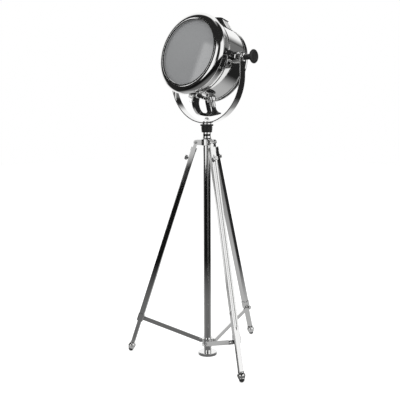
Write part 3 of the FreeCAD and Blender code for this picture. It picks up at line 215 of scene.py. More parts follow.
def skin(name, grid, place=Matrix(), wrap=(True, True)):
    """A mesh over a grid of points, one quad per cell.  A wrapped direction closes on itself.
    Points that fall together, as at a pole, are merged, and the faces are turned outwards."""
    rows, columns = grid.shape[:2]
    points = moved(grid.reshape(-1, 3), place)
    i = np.arange(rows if wrap[0] else rows - 1)[:, None]
    j = np.arange(columns if wrap[1] else columns - 1)[None, :]
    below, right = (i + 1) % rows, (j + 1) % columns
    quads = np.stack([i * columns + j, below * columns + j, below * columns + right,
                      i * columns + right], -1).reshape(-1, 4)
    mesh = bpy.data.meshes.new(name)
    mesh.vertices.add(len(points))
    mesh.vertices.foreach_set("co", points.astype(np.float32).ravel())
    mesh.loops.add(quads.size)
    mesh.loops.foreach_set("vertex_index", quads.astype(np.int32).ravel())
    mesh.polygons.add(len(quads))
    mesh.polygons.foreach_set("loop_start", np.arange(0, quads.size, 4, dtype=np.int32))
    mesh.update(calc_edges=True)
    work = bmesh.new()
    work.from_mesh(mesh)
    bmesh.ops.remove_doubles(work, verts=work.verts, dist=2e-7)
    bmesh.ops.recalc_face_normals(work, faces=work.faces)
    work.to_mesh(mesh)
    work.free()
    mesh.shade_smooth()
    mesh.set_sharp_from_angle(angle=SHARP_FROM)
    piece = bpy.data.objects.new(name, mesh)
    bpy.context.scene.collection.objects.link(piece)
    flats = piece.modifiers.new("flats", "WEIGHTED_NORMAL")
    flats.keep_sharp = True
    return piece


def fillet(corners, cuts, steps=5):
    """A closed outline with its corners rounded.  Each corner becomes a parabola that leaves its
    side `cut` before the corner and joins the next side `cut` after it."""
    p = np.asarray(corners, float)
    back, on = np.roll(p, 1, 0) - p, np.roll(p, -1, 0) - p
    side_back = np.linalg.norm(back, axis=1, keepdims=True)
    side_on = np.linalg.norm(on, axis=1, keepdims=True)
    cut = np.broadcast_to(np.asarray(cuts, float), len(p))[:, None]
    cut = np.minimum(cut, 0.49 * np.minimum(side_back, side_on))
    a, b = p + back / side_back * cut, p + on / side_on * cut
    t = np.linspace(0, 1, steps + 1)[None, :, None]
    curve = (1 - t) ** 2 * a[:, None] + 2 * t * (1 - t) * p[:, None] + t ** 2 * b[:, None]
    return curve.reshape(-1, 2)


def bow(a, b, rise, steps=16):
    """Points of a circular arc from a to b, which stands `rise` proud of the chord's middle, to
    the left of the way from a to b.  Its radius is (half chord squared + rise squared) / 2 rise."""
    a, b = np.asarray(a, float), np.asarray(b, float)
    half = np.linalg.norm(b - a) / 2
    along = (b - a) / (2 * half)
    left = np.array([-along[1], along[0]])
    radius = (half ** 2 + rise ** 2) / (2 * abs(rise))
    reach = math.asin(min(1.0, half / radius))
    if abs(rise) > half:
        reach = math.pi - reach
    s = np.linspace(-reach, reach, steps + 1)[:, None]
    up = radius * (np.cos(s) - math.cos(reach)) * math.copysign(1, rise)
    return (a + b) / 2 + along * radius * np.sin(s) + left * up


def turned(name, outline, place, segments=96):
    """A closed outline of (radius, height) carried round the Z axis: x = r cos a, y = r sin a,
    z = height, then moved to its place."""
    outline = np.asarray(outline, float)
    a = np.linspace(0, TURN, segments, endpoint=False)
    r, h = outline.T
    grid = np.stack([np.outer(np.cos(a), r), np.outer(np.sin(a), r),
                     np.broadcast_to(h, (segments, len(r)))], -1)
    return skin(name, grid, place)


def carried(name, section, path, across, up, scale=None, place=Matrix()):
    """A section carried along a path: each point is path + across * s.x * scale.x + up * s.y *
    scale.y.  Each end is closed by a row that shrinks to the path."""
    n = len(path)
    scale = np.ones((n, 2)) if scale is None else scale
    across, up = np.broadcast_to(across, (n, 3)), np.broadcast_to(up, (n, 3))
    grid = (path[:, None] + across[:, None] * (section[None, :, 0] * scale[:, None, 0])[..., None]
            + up[:, None] * (section[None, :, 1] * scale[:, None, 1])[..., None])
    first = np.broadcast_to(grid[:1].mean(1, keepdims=True), grid[:1].shape)
    last = np.broadcast_to(grid[-1:].mean(1, keepdims=True), grid[-1:].shape)
    return skin(name, np.concatenate([first, grid, last]), place, wrap=(False, True))


def rounded_rectangle(width, height, corner, steps=5):
    """A rectangle's outline, centred, with rounded corners."""
    x, y = width / 2, height / 2
    return fillet([(x, y), (-x, y), (-x, -y), (x, -y)], corner, steps)


def finished(piece, body, slot, material, *nodes):
    """Gives a piece its body, its finish and the nodes it stands for."""
    piece.data.materials.clear()
    piece.data.materials.append(material)
    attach(piece, body)
    if nodes:
        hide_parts(*nodes)
    return piece


# ======== places ========

def head_place():
    """The head's own frame at rest: the origin on the tilt axis, Y along the drum, rearwards."""
    sizes = bpy.context.scene.lamp_head
    return Matrix.Translation((0, 0, sizes.pivot_height)) @ Matrix.Rotation(-sizes.tilt, 4, "X")


def drum_place():
    """Along Z, forwards from the tilt axis along the drum's axis."""
    return head_place() @ Matrix.Rotation(math.radians(90), 4, "X")


def knob_place():
    """Along Z, outwards from the drum: where the knob under the drum stands."""
    sizes = bpy.context.scene.lamp_head
    return (head_place() @ Matrix.Rotation(sizes.low_knob_round, 4, "Y")
            @ Matrix.Translation((0, sizes.low_knob_rear, sizes.drum_radius))
            @ Matrix.Rotation(sizes.low_knob_lean, 4, "X"))


def leg_place(k):
    """The frame of leg k: Z up along the leg, X away from the column, origin at its pivot."""
    sizes = bpy.context.scene.lamp_tripod
    azimuth = math.radians(90 + 120 * k) + sizes.turn
    return (Matrix.Rotation(azimuth, 4, "Z")
            @ Matrix.Translation((sizes.pivot_radius, 0, sizes.pivot_height))
            @ Matrix.Rotation(-sizes.spread, 4, "Y"))


LEGS = ("rear", "left", "right")


# ======== finishes ========

class Nodes:
    """Short ways to add, fill and link the nodes of a tree."""

    def __init__(self, tree):
        self.tree = tree

    def add(self, kind, **values):
        """A new node.  A value goes to the input of its name, or else to the node's setting."""
        node = self.tree.nodes.new(kind)
        for key, value in values.items():
            if key in node.inputs:
                node.inputs[key].default_value = value
            else:
                setattr(node, key, value)
        return node

    def link(self, a, b):
        self.tree.links.new(a, b)

    def fill(self, inputs, values):
        """Gives inputs their values in order: a socket is linked, and a number is set."""
        for socket, value in zip(inputs, values):
            if isinstance(value, bpy.types.NodeSocket):
                self.link(value, socket)
            else:
                socket.default_value = value

    def maths(self, operation, *values):
        node = self.add("ShaderNodeMath", operation=operation)
        self.fill(node.inputs, values)
        return node.outputs[0]

    def degrees(self, value):
        return self.maths("MULTIPLY", value, 180 / math.pi)

    def dot(self, vector, axis):
        node = self.add("ShaderNodeVectorMath", operation="DOT_PRODUCT")
        self.fill(node.inputs, (vector, axis))
        return node.outputs["Value"]

    def ranged(self, value, start, end, low, high):
        """Runs straight from low at start to high at end."""
        node = self.add("ShaderNodeMapRange")
        self.fill(node.inputs, (value, start, end, low, high))
        return node.outputs["Result"]

    def ease(self, value, start, end, low=0.0, high=1.0):
        """Eases from low at start to high at end."""
        if start > end:
            start, end, low, high = end, start, high, low
        node = self.add("ShaderNodeMapRange", interpolation_type="SMOOTHSTEP")
        self.fill(node.inputs, (value, start, end, low, high))
        return node.outputs["Result"]


def emptied(tree):
    """A tree without its first nodes."""
    tree.nodes.clear()
    return Nodes(tree)


class Shader(Nodes):
    """A new material with its Principled shader and noise on Object coordinates."""

    def __init__(self, name):
        self.material = bpy.data.materials.new(name)
        self.material.use_nodes = True
        super().__init__(self.material.node_tree)
        self.principled = self.tree.nodes["Principled BSDF"]
        self.place = self.add("ShaderNodeTexCoord").outputs["Object"]

    def put(self, **values):
        for key, value in values.items():
            self.principled.inputs[key.replace("_", " ")].default_value = value

    def noise(self, scale, detail=3.0):
        cloud = self.add("ShaderNodeTexNoise", Scale=scale, Detail=detail)
        self.link(self.place, cloud.inputs["Vector"])
        return cloud.outputs["Fac"]

    def roughness(self, scale, low, high, detail=3.0, start=0.3, end=0.7):
        """Roughness that wanders from low to high, as noise goes from start to end."""
        self.link(self.ranged(self.noise(scale, detail), start, end, low, high),
                  self.principled.inputs["Roughness"])

    def bump(self, scale, detail, strength, distance):
        node = self.add("ShaderNodeBump", Strength=strength, Distance=distance)
        self.link(self.noise(scale, detail), node.inputs["Height"])
        self.link(node.outputs["Normal"], self.principled.inputs["Normal"])


def bright_plate():
    """Polished nickel over metal: a mirror with a faint haze and a trace of unevenness."""
    finish = bpy.context.scene.lamp_finish
    s = Shader("bright_plate")
    s.put(Base_Color=finish.plate, Metallic=1.0)
    s.roughness(9.0, finish.plate_roughness, finish.plate_roughness + 0.05,
                detail=4.0, start=0.35, end=0.75)
    s.bump(26.0, 1.0, strength=0.04, distance=0.0006)
    return s.material


def black_moulding():
    """Black phenolic with a satin skin."""
    s = Shader("black_moulding")
    s.put(Base_Color=bpy.context.scene.lamp_finish.black)
    s.roughness(60.0, 0.32, 0.46)
    s.bump(900.0, 2.0, strength=0.15, distance=0.0003)
    return s.material


def black_rubber():
    """Matt rubber with a fine grain."""
    s = Shader("black_rubber")
    s.put(Base_Color=bpy.context.scene.lamp_finish.rubber)
    s.roughness(150.0, 0.62, 0.8)
    s.bump(700.0, 3.0, strength=0.3, distance=0.0004)
    return s.material


def frosted_glass():
    """Glass frosted on its inner face: grey and faintly cloudy under a clear, smooth front."""
    s = Shader("frosted_glass")
    frost, cloud = bpy.context.scene.lamp_finish.frost[:3], 0.06
    mix = s.add("ShaderNodeMix", data_type="RGBA")
    s.link(s.ranged(s.noise(3.0, 2.0), 0.3, 0.7, 0.0, 1.0), mix.inputs["Factor"])
    # A mix of colours has its two colours at inputs 6 and 7, and its result at output 2.
    mix.inputs[6].default_value = [c * (1 - cloud) for c in frost] + [1]
    mix.inputs[7].default_value = [c * (1 + cloud) for c in frost] + [1]
    s.link(mix.outputs[2], s.principled.inputs["Base Color"])
    s.roughness(30.0, 0.015, 0.03)
    s.put(IOR=1.8)
    s.bump(14.0, 1.0, strength=0.01, distance=0.0004)
    return s.material


def spun_aluminium():
    """Bare aluminium, spun and not polished."""
    s = Shader("spun_aluminium")
    s.put(Base_Color=bpy.context.scene.lamp_finish.aluminium, Metallic=1.0)
    s.roughness(40.0, 0.18, 0.3)
    return s.material


def opal_glass():
    """White glass with a smooth skin."""
    s = Shader("opal_glass")
    s.put(Base_Color=bpy.context.scene.lamp_finish.opal, IOR=1.5)
    s.roughness(20.0, 0.1, 0.16)
    return s.material


def zinc_plate():
    """Dull plate on fittings that are mostly hidden."""
    s = Shader("zinc_plate")
    s.put(Base_Color=bpy.context.scene.lamp_finish.zinc, Metallic=1.0)
    s.roughness(80.0, 0.28, 0.45)
    return s.material


FINISHES = {"chrome": bright_plate, "black_plastic": black_moulding, "black_rubber": black_rubber,
            "frosted_glass": frosted_glass, "bright_aluminium": spun_aluminium,
            "opal_glass": opal_glass, "zinc_steel": zinc_plate}
made = {}


def finish_of(slot):
    """The finish of a material slot of the record, made once."""
    if slot not in made:
        made[slot] = FINISHES[slot]()
    return made[slot]


# ======== the head ========

class LAMP_OT_drum(bpy.types.Operator):
    """The spun drum with its beads and front band, and the boss for the lower knob.

    An outline turned about the drum's axis.  A bead is an arc as high as its radius, and the step
    up to the band is two shallow arcs of opposite bend"""
    bl_idname = "lamp.drum"
    bl_label = "Drum"

    def execute(self, context):
        z = context.scene.lamp_head
        plate = finish_of("chrome")
        r, bead, step = z.drum_radius, z.bead_radius, z.drum_step
        inner = r - z.drum_wall
        band_inner = z.band_radius - z.drum_wall
        rear_bead = z.rear_bead_inset - z.drum_rear
        front_bead = step - z.front_bead_inset
        bend_start, bend_middle = (r, step - 0.006), (r + 0.003, step - 0.001)
        bend_end, bend_rise = (z.band_radius, step + 0.004), 0.0012
        hem, hem_depth = z.band_radius - 0.006, 0.003
        outline = np.concatenate([
            [(inner, -z.drum_rear), (r, -z.drum_rear), (r, rear_bead - bead)],
            bow((r, rear_bead - bead), (r, rear_bead + bead), -bead, 10)[1:-1],
            [(r, rear_bead + bead), (r, front_bead - bead)],
            bow((r, front_bead - bead), (r, front_bead + bead), -bead, 10)[1:-1],
            [(r, front_bead + bead), bend_start],
            bow(bend_start, bend_middle, bend_rise, 5)[1:],
            bow(bend_middle, bend_end, -bend_rise, 5)[1:],
            [(z.band_radius, z.bezel_seat), (hem, z.bezel_seat), (hem, z.bezel_seat - hem_depth),
             (band_inner, z.bezel_seat - hem_depth), (band_inner, step + 0.006),
             (inner, step - 0.004)],
        ])
        drum = turned("drum_shell", outline, drum_place(), segments=288)
        finished(drum, "head", "chrome", plate, "drum")
        sunk, wide, high = -0.006, 0.021, z.low_boss_height
        boss = fillet([(0, sunk), (wide, sunk), (wide, high), (0, high)], [0, 0, 0.0025, 0])
        finished(turned("drum_boss", boss, knob_place(), segments=64), "head", "chrome", plate)
        return {"FINISHED"}


class LAMP_OT_bezel(bpy.types.Operator):
    """The polished ring that holds the lens.

    Its face is part of an ellipse turned about the drum's axis: radius = crest + half width sin t,
    height = skirt + depth cos t, from just inside the crest to the widest point"""
    bl_idname = "lamp.bezel"
    bl_label = "Bezel"

    def execute(self, context):
        z = context.scene.lamp_head
        front, seat, outer, lip = z.bezel_front, z.bezel_seat, z.bezel_radius, z.lip_radius
        skirt, crest = seat + 0.008, lip + z.crest_inset
        start = math.asin((lip + 0.001 - crest) / (outer - crest))
        t = np.linspace(start, math.pi / 2, 40)
        face = np.stack([crest + (outer - crest) * np.sin(t),
                         skirt + (front - skirt) * np.cos(t)], -1)
        back = z.lens_front - 0.010
        bore = z.lens_radius + 0.0005
        wall = bore + 0.0025
        hem, hem_inner, hollow = outer - 0.007, outer - 0.017, outer - 0.0095
        ring = np.concatenate([
            [(lip, z.lens_front), (lip, face[0, 1] - 0.001)],
            face, bow((outer, skirt), (hem, seat + 0.0005), 0.0015, 8)[1:],
            [(hem, seat), (hem_inner, seat), (hem_inner, seat + 0.0025), (hollow, seat + 0.0025),
             (hollow, seat + 0.0055), (outer - 0.0025, skirt), (outer - 0.0124, front - 0.012),
             (wall, front - 0.005), (wall, back), (bore, back), (bore, z.lens_front)],
        ])
        bezel = turned("bezel_ring", ring, drum_place(), segments=384)
        finished(bezel, "head", "chrome", finish_of("chrome"), "bezel")
        return {"FINISHED"}


class LAMP_OT_lens(bpy.types.Operator):
    """The frosted front glass"""
    bl_idname = "lamp.lens"
    bl_label = "Lens"

    def execute(self, context):
        z = context.scene.lamp_head
        back = z.lens_front - z.lens_thickness
        ease = 0.0008
        disc = fillet([(0, back), (z.lens_radius, back), (z.lens_radius, z.lens_front),
                       (0, z.lens_front)], [0, ease, ease, 0])
        lens = turned("lens_disc", disc, drum_place(), segments=160)
        finished(lens, "head", "frosted_glass", finish_of("frosted_glass"), "lens")
        return {"FINISHED"}


class LAMP_OT_rear_cover(bpy.types.Operator):
    """The shallow dome that closes the drum behind.

    A rolled rim, then a dome that is an arc of a large circle, then a raised round boss"""
    bl_idname = "lamp.rear_cover"
    bl_label = "Rear cover"

    def execute(self, context):
        z = context.scene.lamp_head
        start, rim, wall = -z.drum_rear, z.rim_radius, z.cover_wall
        lap, rear = z.drum_radius + 0.00005, start - z.rim_depth
        deep = rear - z.dome_depth + 0.0006
        cap = rear - z.dome_depth - z.boss_height
        dome = np.concatenate([
            [(lap, start + z.rim_depth), (rim, start + z.rim_depth)],
            bow((rim, start + z.rim_depth), (rim - 0.002, rear), 0.003, 10)[1:],
            bow((rim - 0.002, rear), (z.boss_radius + 0.004, deep), 0.0072, 30)[1:],
            fillet([(z.boss_radius, cap), (0, cap), (0, cap + wall),
                    (z.boss_radius - 0.001, cap + wall)], [0.0015, 0, 0, 0.001], 4),
            [(z.boss_radius + 0.003, deep + wall)],
            bow((z.boss_radius + 0.003, deep + wall), (rim - 0.006, rear + wall), -0.007, 30)[1:],
            [(rim - 0.006, start), (lap, start)],
        ])
        cover = turned("rear_dome", dome, drum_place(), segments=180)
        finished(cover, "head", "chrome", finish_of("chrome"), "rear_cover")
        return {"FINISHED"}


def bell(neck, rim, long, foot=0.0):
    """A flared knob's outline: a neck, a hollow flare, a rounded rim and a dished face."""
    edge = rim * 0.16
    return np.concatenate([
        [(0, -foot), (neck, -foot), (neck, long * 0.14)],
        bow((neck, long * 0.14), (rim - edge * 0.4, long * 0.80), (rim - neck) * 0.26, 18)[1:],
        bow((rim - edge * 0.4, long * 0.80), (rim - edge * 0.6, long - 0.001), -edge * 0.75,
            12)[1:],
        fillet([(rim * 0.72, long), (rim * 0.62, long - 0.002), (0, long - 0.002)],
               [0.001, 0.001, 0], 3),
    ])


class LAMP_OT_knobs(bpy.types.Operator):
    """The black flared knobs on the tilt axis and under the drum"""
    bl_idname = "lamp.knobs"
    bl_label = "Knobs"

    def execute(self, context):
        z = context.scene.lamp_head
        black = finish_of("black_plastic")
        for name, side in (("right", 1), ("left", -1)):
            place = (head_place() @ Matrix.Rotation(math.radians(90 * side), 4, "Y")
                     @ Matrix.Translation((0, 0, z.tilt_knob_at)))
            outline = bell(z.tilt_knob_neck, z.tilt_knob_radius, z.tilt_knob_length,
                           foot=z.tilt_knob_neck)
            knob = turned("tilt_knob_" + name + "_bell", outline, place, segments=96)
            finished(knob, "tilt_knob_" + name, "black_plastic", black, "tilt_knob_" + name)
        seat, neck_height = z.low_boss_height + z.seat_gap, 0.030
        place = knob_place() @ Matrix.Translation((0, 0, seat + neck_height))
        outline = bell(z.low_knob_neck, z.low_knob_radius, z.low_knob_length)
        knob = turned("drum_knob_bell", outline, place, segments=96)
        finished(knob, "drum_knob", "black_plastic", black, "drum_knob")
        flange, waist, tip = 0.019, 0.0135, neck_height + 0.0005
        neck = fillet([(0, 0), (flange, 0), (flange, 0.004), (flange - 0.0015, 0.005),
                       (waist, 0.0055), (waist, 0.026), (z.low_knob_neck, 0.027),
                       (z.low_knob_neck, tip), (0, tip)],
                      [0, 0.001, 0.001, 0.0008, 0.0008, 0.0006, 0.0006, 0.0004, 0], 4)
        place = knob_place() @ Matrix.Translation((0, 0, seat))
        finished(turned("drum_knob_neck", neck, place, segments=72), "drum_knob", "chrome",
                 finish_of("chrome"), "drum_neck")
        return {"FINISHED"}


# ======== the yoke, the column and the base ========

class LAMP_OT_yoke(bpy.types.Operator):
    """The strip bent to a U, with round ends.

    Its middle line is a half circle with straight arms.  At an arm's end the strip is as wide as a
    circle is there: width = square root of (1 - (1 - distance / half width) squared)"""
    bl_idname = "lamp.yoke"
    bl_label = "Yoke"

    def execute(self, context):
        z, top = context.scene.lamp_stand, context.scene.lamp_head.pivot_height
        middle = z.yoke_half_width - z.yoke_strip / 2
        centre = z.yoke_bottom + z.yoke_half_width
        half = z.yoke_width / 2
        straight = top + half - centre
        end_steps, arm_steps, bend_steps = 14, 8, 121
        run = np.concatenate([half * (1 - np.cos(np.linspace(0, math.pi / 2, end_steps))),
                              np.linspace(half, straight, arm_steps)[1:]])
        bend = np.linspace(math.pi, TURN, bend_steps)[1:-1]
        arms = np.ones_like(run)
        x = np.concatenate([-middle * arms, middle * np.cos(bend), middle * arms])
        h = np.concatenate([top + half - run, centre + middle * np.sin(bend),
                            (top + half - run)[::-1]])
        out = np.concatenate([np.stack([-arms, 0 * arms, 0 * arms], -1),
                              np.stack([np.cos(bend), 0 * bend, np.sin(bend)], -1),
                              np.stack([arms, 0 * arms, 0 * arms], -1)])
        near_end = np.clip(run / half, 0, 1)
        tip = 0.0004
        width = np.sqrt(np.clip(1 - (1 - near_end) ** 2, tip, 1))
        width = np.concatenate([width, np.ones_like(bend), width[::-1]])
        section = rounded_rectangle(z.yoke_width, z.yoke_strip, 0.0009, 4)
        path = np.stack([x, 0 * x, h], -1)
        scale = np.stack([width, np.ones_like(width)], -1)
        yoke = carried("yoke_strip", section, path, np.array([0.0, 1, 0]), out, scale)
        finished(yoke, "yoke", "chrome", finish_of("chrome"), "yoke")
        return {"FINISHED"}


class LAMP_OT_column(bpy.types.Operator):
    """The column, the base disc and the grip with its lip, each an outline turned about Z"""
    bl_idname = "lamp.column"
    bl_label = "Column, base and grip"

    def execute(self, context):
        z = context.scene.lamp_stand
        plate = finish_of("chrome")
        r, low = z.column_radius, z.base_height
        bore, high = r - z.column_wall, z.column_top + z.column_in_hub
        tube = [(bore, low), (r, low), (r, high), (bore, high)]
        finished(turned("column", tube, Matrix(), segments=96), "stand", "chrome", plate, "column_tube")
        weld = low + 0.0012
        base = fillet([(0, 0), (z.base_radius, 0), (z.base_radius, low - 0.0005),
                       (z.base_radius - 0.004, low), (r + 0.0015, low), (r + 0.0012, weld),
                       (0, weld)], [0, 0.0015, 0.003, 0.002, 0.0004, 0.0004, 0], 6)
        finished(turned("base", base, Matrix(), segments=128), "stand", "chrome", plate, "base_disc")
        lip, top, low = z.grip_top - z.grip_lip_height, z.grip_top, z.grip_bottom
        groove, socket, shelf = z.grip_neck_radius - 0.0015, r + 0.001, low + 0.0085
        grip = fillet([(socket, low), (z.grip_low_radius, low), (z.grip_neck_radius, lip - 0.005),
                       (groove, lip - 0.004), (groove, lip - 0.001),
                       (z.grip_lip_radius, lip + 0.001), (z.grip_lip_radius, top),
                       (z.grip_bore, top), (z.grip_bore, shelf), (socket, shelf)],
                      [0.0005, 0.0015, 0.0012, 0.0004, 0.0006, 0.002, 0.0025, 0.0003, 0.0003,
                       0.0003], 6)
        finished(turned("grip", grip, Matrix(), segments=144), "stand", "black_plastic",
                 finish_of("black_plastic"), "stem_grip")
        return {"FINISHED"}


# ======== the tripod ========

class LAMP_OT_legs(bpy.types.Operator):
    """The slotted leg tubes and the inner legs that slide in them"""
    bl_idname = "lamp.legs"
    bl_label = "Legs"

    def slotted_tube(self, z, name, place):
        """A rounded rectangle carried down the leg.  Its outer face is open between plus and
        minus w, and w follows the slot: w = sqrt(r squared - distance past the end squared)."""
        r = z.slot_width / 2
        round_end = np.linspace(0, math.pi / 2, 9)
        s = np.concatenate([np.linspace(z.tube_start, z.slot_start, 5),
                            (z.slot_start + r - r * np.cos(round_end))[1:],
                            np.linspace(z.slot_start + r, z.slot_end - r, 24)[1:],
                            (z.slot_end - r + r * np.sin(round_end))[1:],
                            np.linspace(z.slot_end, z.tube_end, 5)[1:]])
        past = np.maximum(z.slot_start + r - s, s - (z.slot_end - r))
        w = np.sqrt(np.clip(r ** 2 - np.clip(past, 0, r) ** 2, 0, None))
        x, y, corner = z.tube_depth / 2, z.tube_width / 2, 0.003
        corners = rounded_rectangle(z.tube_depth, z.tube_width, corner, 6)
        lead = np.linspace(1.0, 0.0, 4)[:-1]
        count = len(corners) + 2 * len(lead)
        grid = np.zeros((len(s), count, 3))
        edge = y - corner
        start = w[:, None] + (edge - w)[:, None] * (1 - lead)[None, :]
        grid[:, :len(lead), 0] = x
        grid[:, :len(lead), 1] = start
        grid[:, len(lead):-len(lead), 0] = corners[None, :, 0]
        grid[:, len(lead):-len(lead), 1] = corners[None, :, 1]
        grid[:, -len(lead):, 0] = x
        grid[:, -len(lead):, 1] = -start[:, ::-1]
        grid[..., 2] = -s[:, None]
        tube = skin(name, grid, place, wrap=(False, False))
        wall = tube.modifiers.new("wall", "SOLIDIFY")
        wall.thickness = z.tube_wall
        wall.offset = -1
        return tube

    def execute(self, context):
        z = context.scene.lamp_tripod
        plate = finish_of("chrome")
        for k, leg in enumerate(LEGS):
            place = leg_place(k)
            tube = self.slotted_tube(z, "leg_tube_" + leg + "_skin", place)
            finished(tube, "leg_" + leg, "chrome", plate, "leg_tube_" + leg)
            section = rounded_rectangle(z.inner_depth, z.inner_width, 0.002, 5)
            s = np.linspace(z.inner_start, z.inner_end, 12)
            path = np.stack([0 * s, 0 * s, -s], -1)
            inner = carried("leg_inner_" + leg + "_skin", section, path, np.array([1.0, 0, 0]),
                            np.array([0, 1.0, 0]), place=place)
            finished(inner, "foot_" + leg, "chrome", plate, "leg_inner_" + leg)
        return {"FINISHED"}


class LAMP_OT_feet(bpy.types.Operator):
    """The turned feet and their rubber pads.

    A foot is a groove and a swelling, both arcs, turned about the leg.  A pad is a ball with its
    top cut off flat: radius = r sin a, height = -r cos a"""
    bl_idname = "lamp.feet"
    bl_label = "Feet"

    def execute(self, context):
        z = context.scene.lamp_tripod
        top, waist, rim = z.foot_top_radius, z.foot_waist_radius, z.foot_rim_radius
        start, groove, low = -z.inner_end, -z.inner_end - 0.008, -z.foot_bell_at
        flat = low - 0.002
        outline = np.concatenate([
            [(0, start), (top, start)],
            bow((top, start), (waist, groove), -0.0015, 8)[1:],
            bow((waist, groove), (rim, low + 0.003), z.foot_swell, 16)[1:],
            bow((rim, low + 0.003), (rim - 0.0005, flat), -0.0004, 6)[1:],
            [(0, flat)],
        ])
        along = (z.pivot_height - z.pad_radius) / math.cos(z.spread)
        cut = math.asin(math.sqrt(z.pad_radius ** 2 - (along + flat) ** 2) / z.pad_radius)
        a = np.linspace(math.pi - cut if along > -flat else cut, 0, 22)
        ball = np.stack([z.pad_radius * np.sin(a), -along - z.pad_radius * np.cos(a)], -1)
        ball = np.concatenate([[(0, ball[0, 1])], ball])
        for k, leg in enumerate(LEGS):
            foot = turned("foot_" + leg + "_turned", outline, leg_place(k), segments=72)
            finished(foot, "foot_" + leg, "chrome", finish_of("chrome"), "foot_" + leg)
            pad = turned("foot_pad_" + leg + "_ball", ball, leg_place(k), segments=48)
            finished(pad, "foot_" + leg, "black_rubber", finish_of("black_rubber"),
                     "foot_pad_" + leg)
        return {"FINISHED"}


class LAMP_OT_finishes(bpy.types.Operator):
    """Gives each remaining CAD node the finish of its slot"""
    bl_idname = "lamp.finishes"
    bl_label = "Finishes"

    def execute(self, context):
        slots = {s["node"]: s["material_slot"] for s in frame["record"]["subparts"]}
        for name, node in frame["nodes"].items():
            node.data.materials.clear()
            node.data.materials.append(finish_of(slots[name]))
        return {"FINISHED"}


# ======== the studio ========

# The studio's own directions: towards the wall behind the lamp, and to the camera's right.
# Azimuths are in degrees, 0 towards the camera, 90 to its right and 180 at the wall behind.
BEHIND = (-0.669, 0.743, 0)
RIGHTWARD = (0.743, 0.669, 0)
AHEAD = tuple(-c for c in BEHIND)

# What polished surfaces see.  The wall behind begins where it eases from dark to white, and the
# ceiling glows towards the zenith.
WALL_ON_RIGHT = (118, 145)
WALL_ON_LEFT = (-110, -130)
CEILING, CEILING_LEVEL = (72, 88), 0.35
DARK_ROOM = 0.018
# The floor's pool and wash are painted light: glow in its own material that only glossy rays see.
POOL_RADII, POOL_LEVELS = (2.4, 0.8), (0.02, 0.46)
POOL_SIDES, POOL_AHEAD = (-0.4, 0.3), 0.32
WASH_SIDES, WASH_RADII = (0.45, 0.75), (0.8, 2.0)
FLOOR_SEEN = 0.62

# A softbox that is seen only in reflections, between two azimuths and two elevations.  `soft` is
# half the width of its blurred edge, and all angles are in degrees.
Softbox = namedtuple("Softbox", "left right low high soft level")
SOFTBOXES = (
    Softbox(left=-58, right=-20, low=-5, high=34, soft=3, level=1.0),
    Softbox(left=22, right=90, low=-3, high=38, soft=3, level=1.0),
    Softbox(left=-89.3, right=-86, low=17, high=26.3, soft=0.25, level=1.4),  # lens patch
    Softbox(left=-30, right=-6, low=-3.5, high=8, soft=1, level=0.55),
    Softbox(left=92, right=122, low=14, high=34, soft=2, level=0.17),
    Softbox(left=84, right=100, low=-20, high=-18.4, soft=0.6, level=0.8),
)


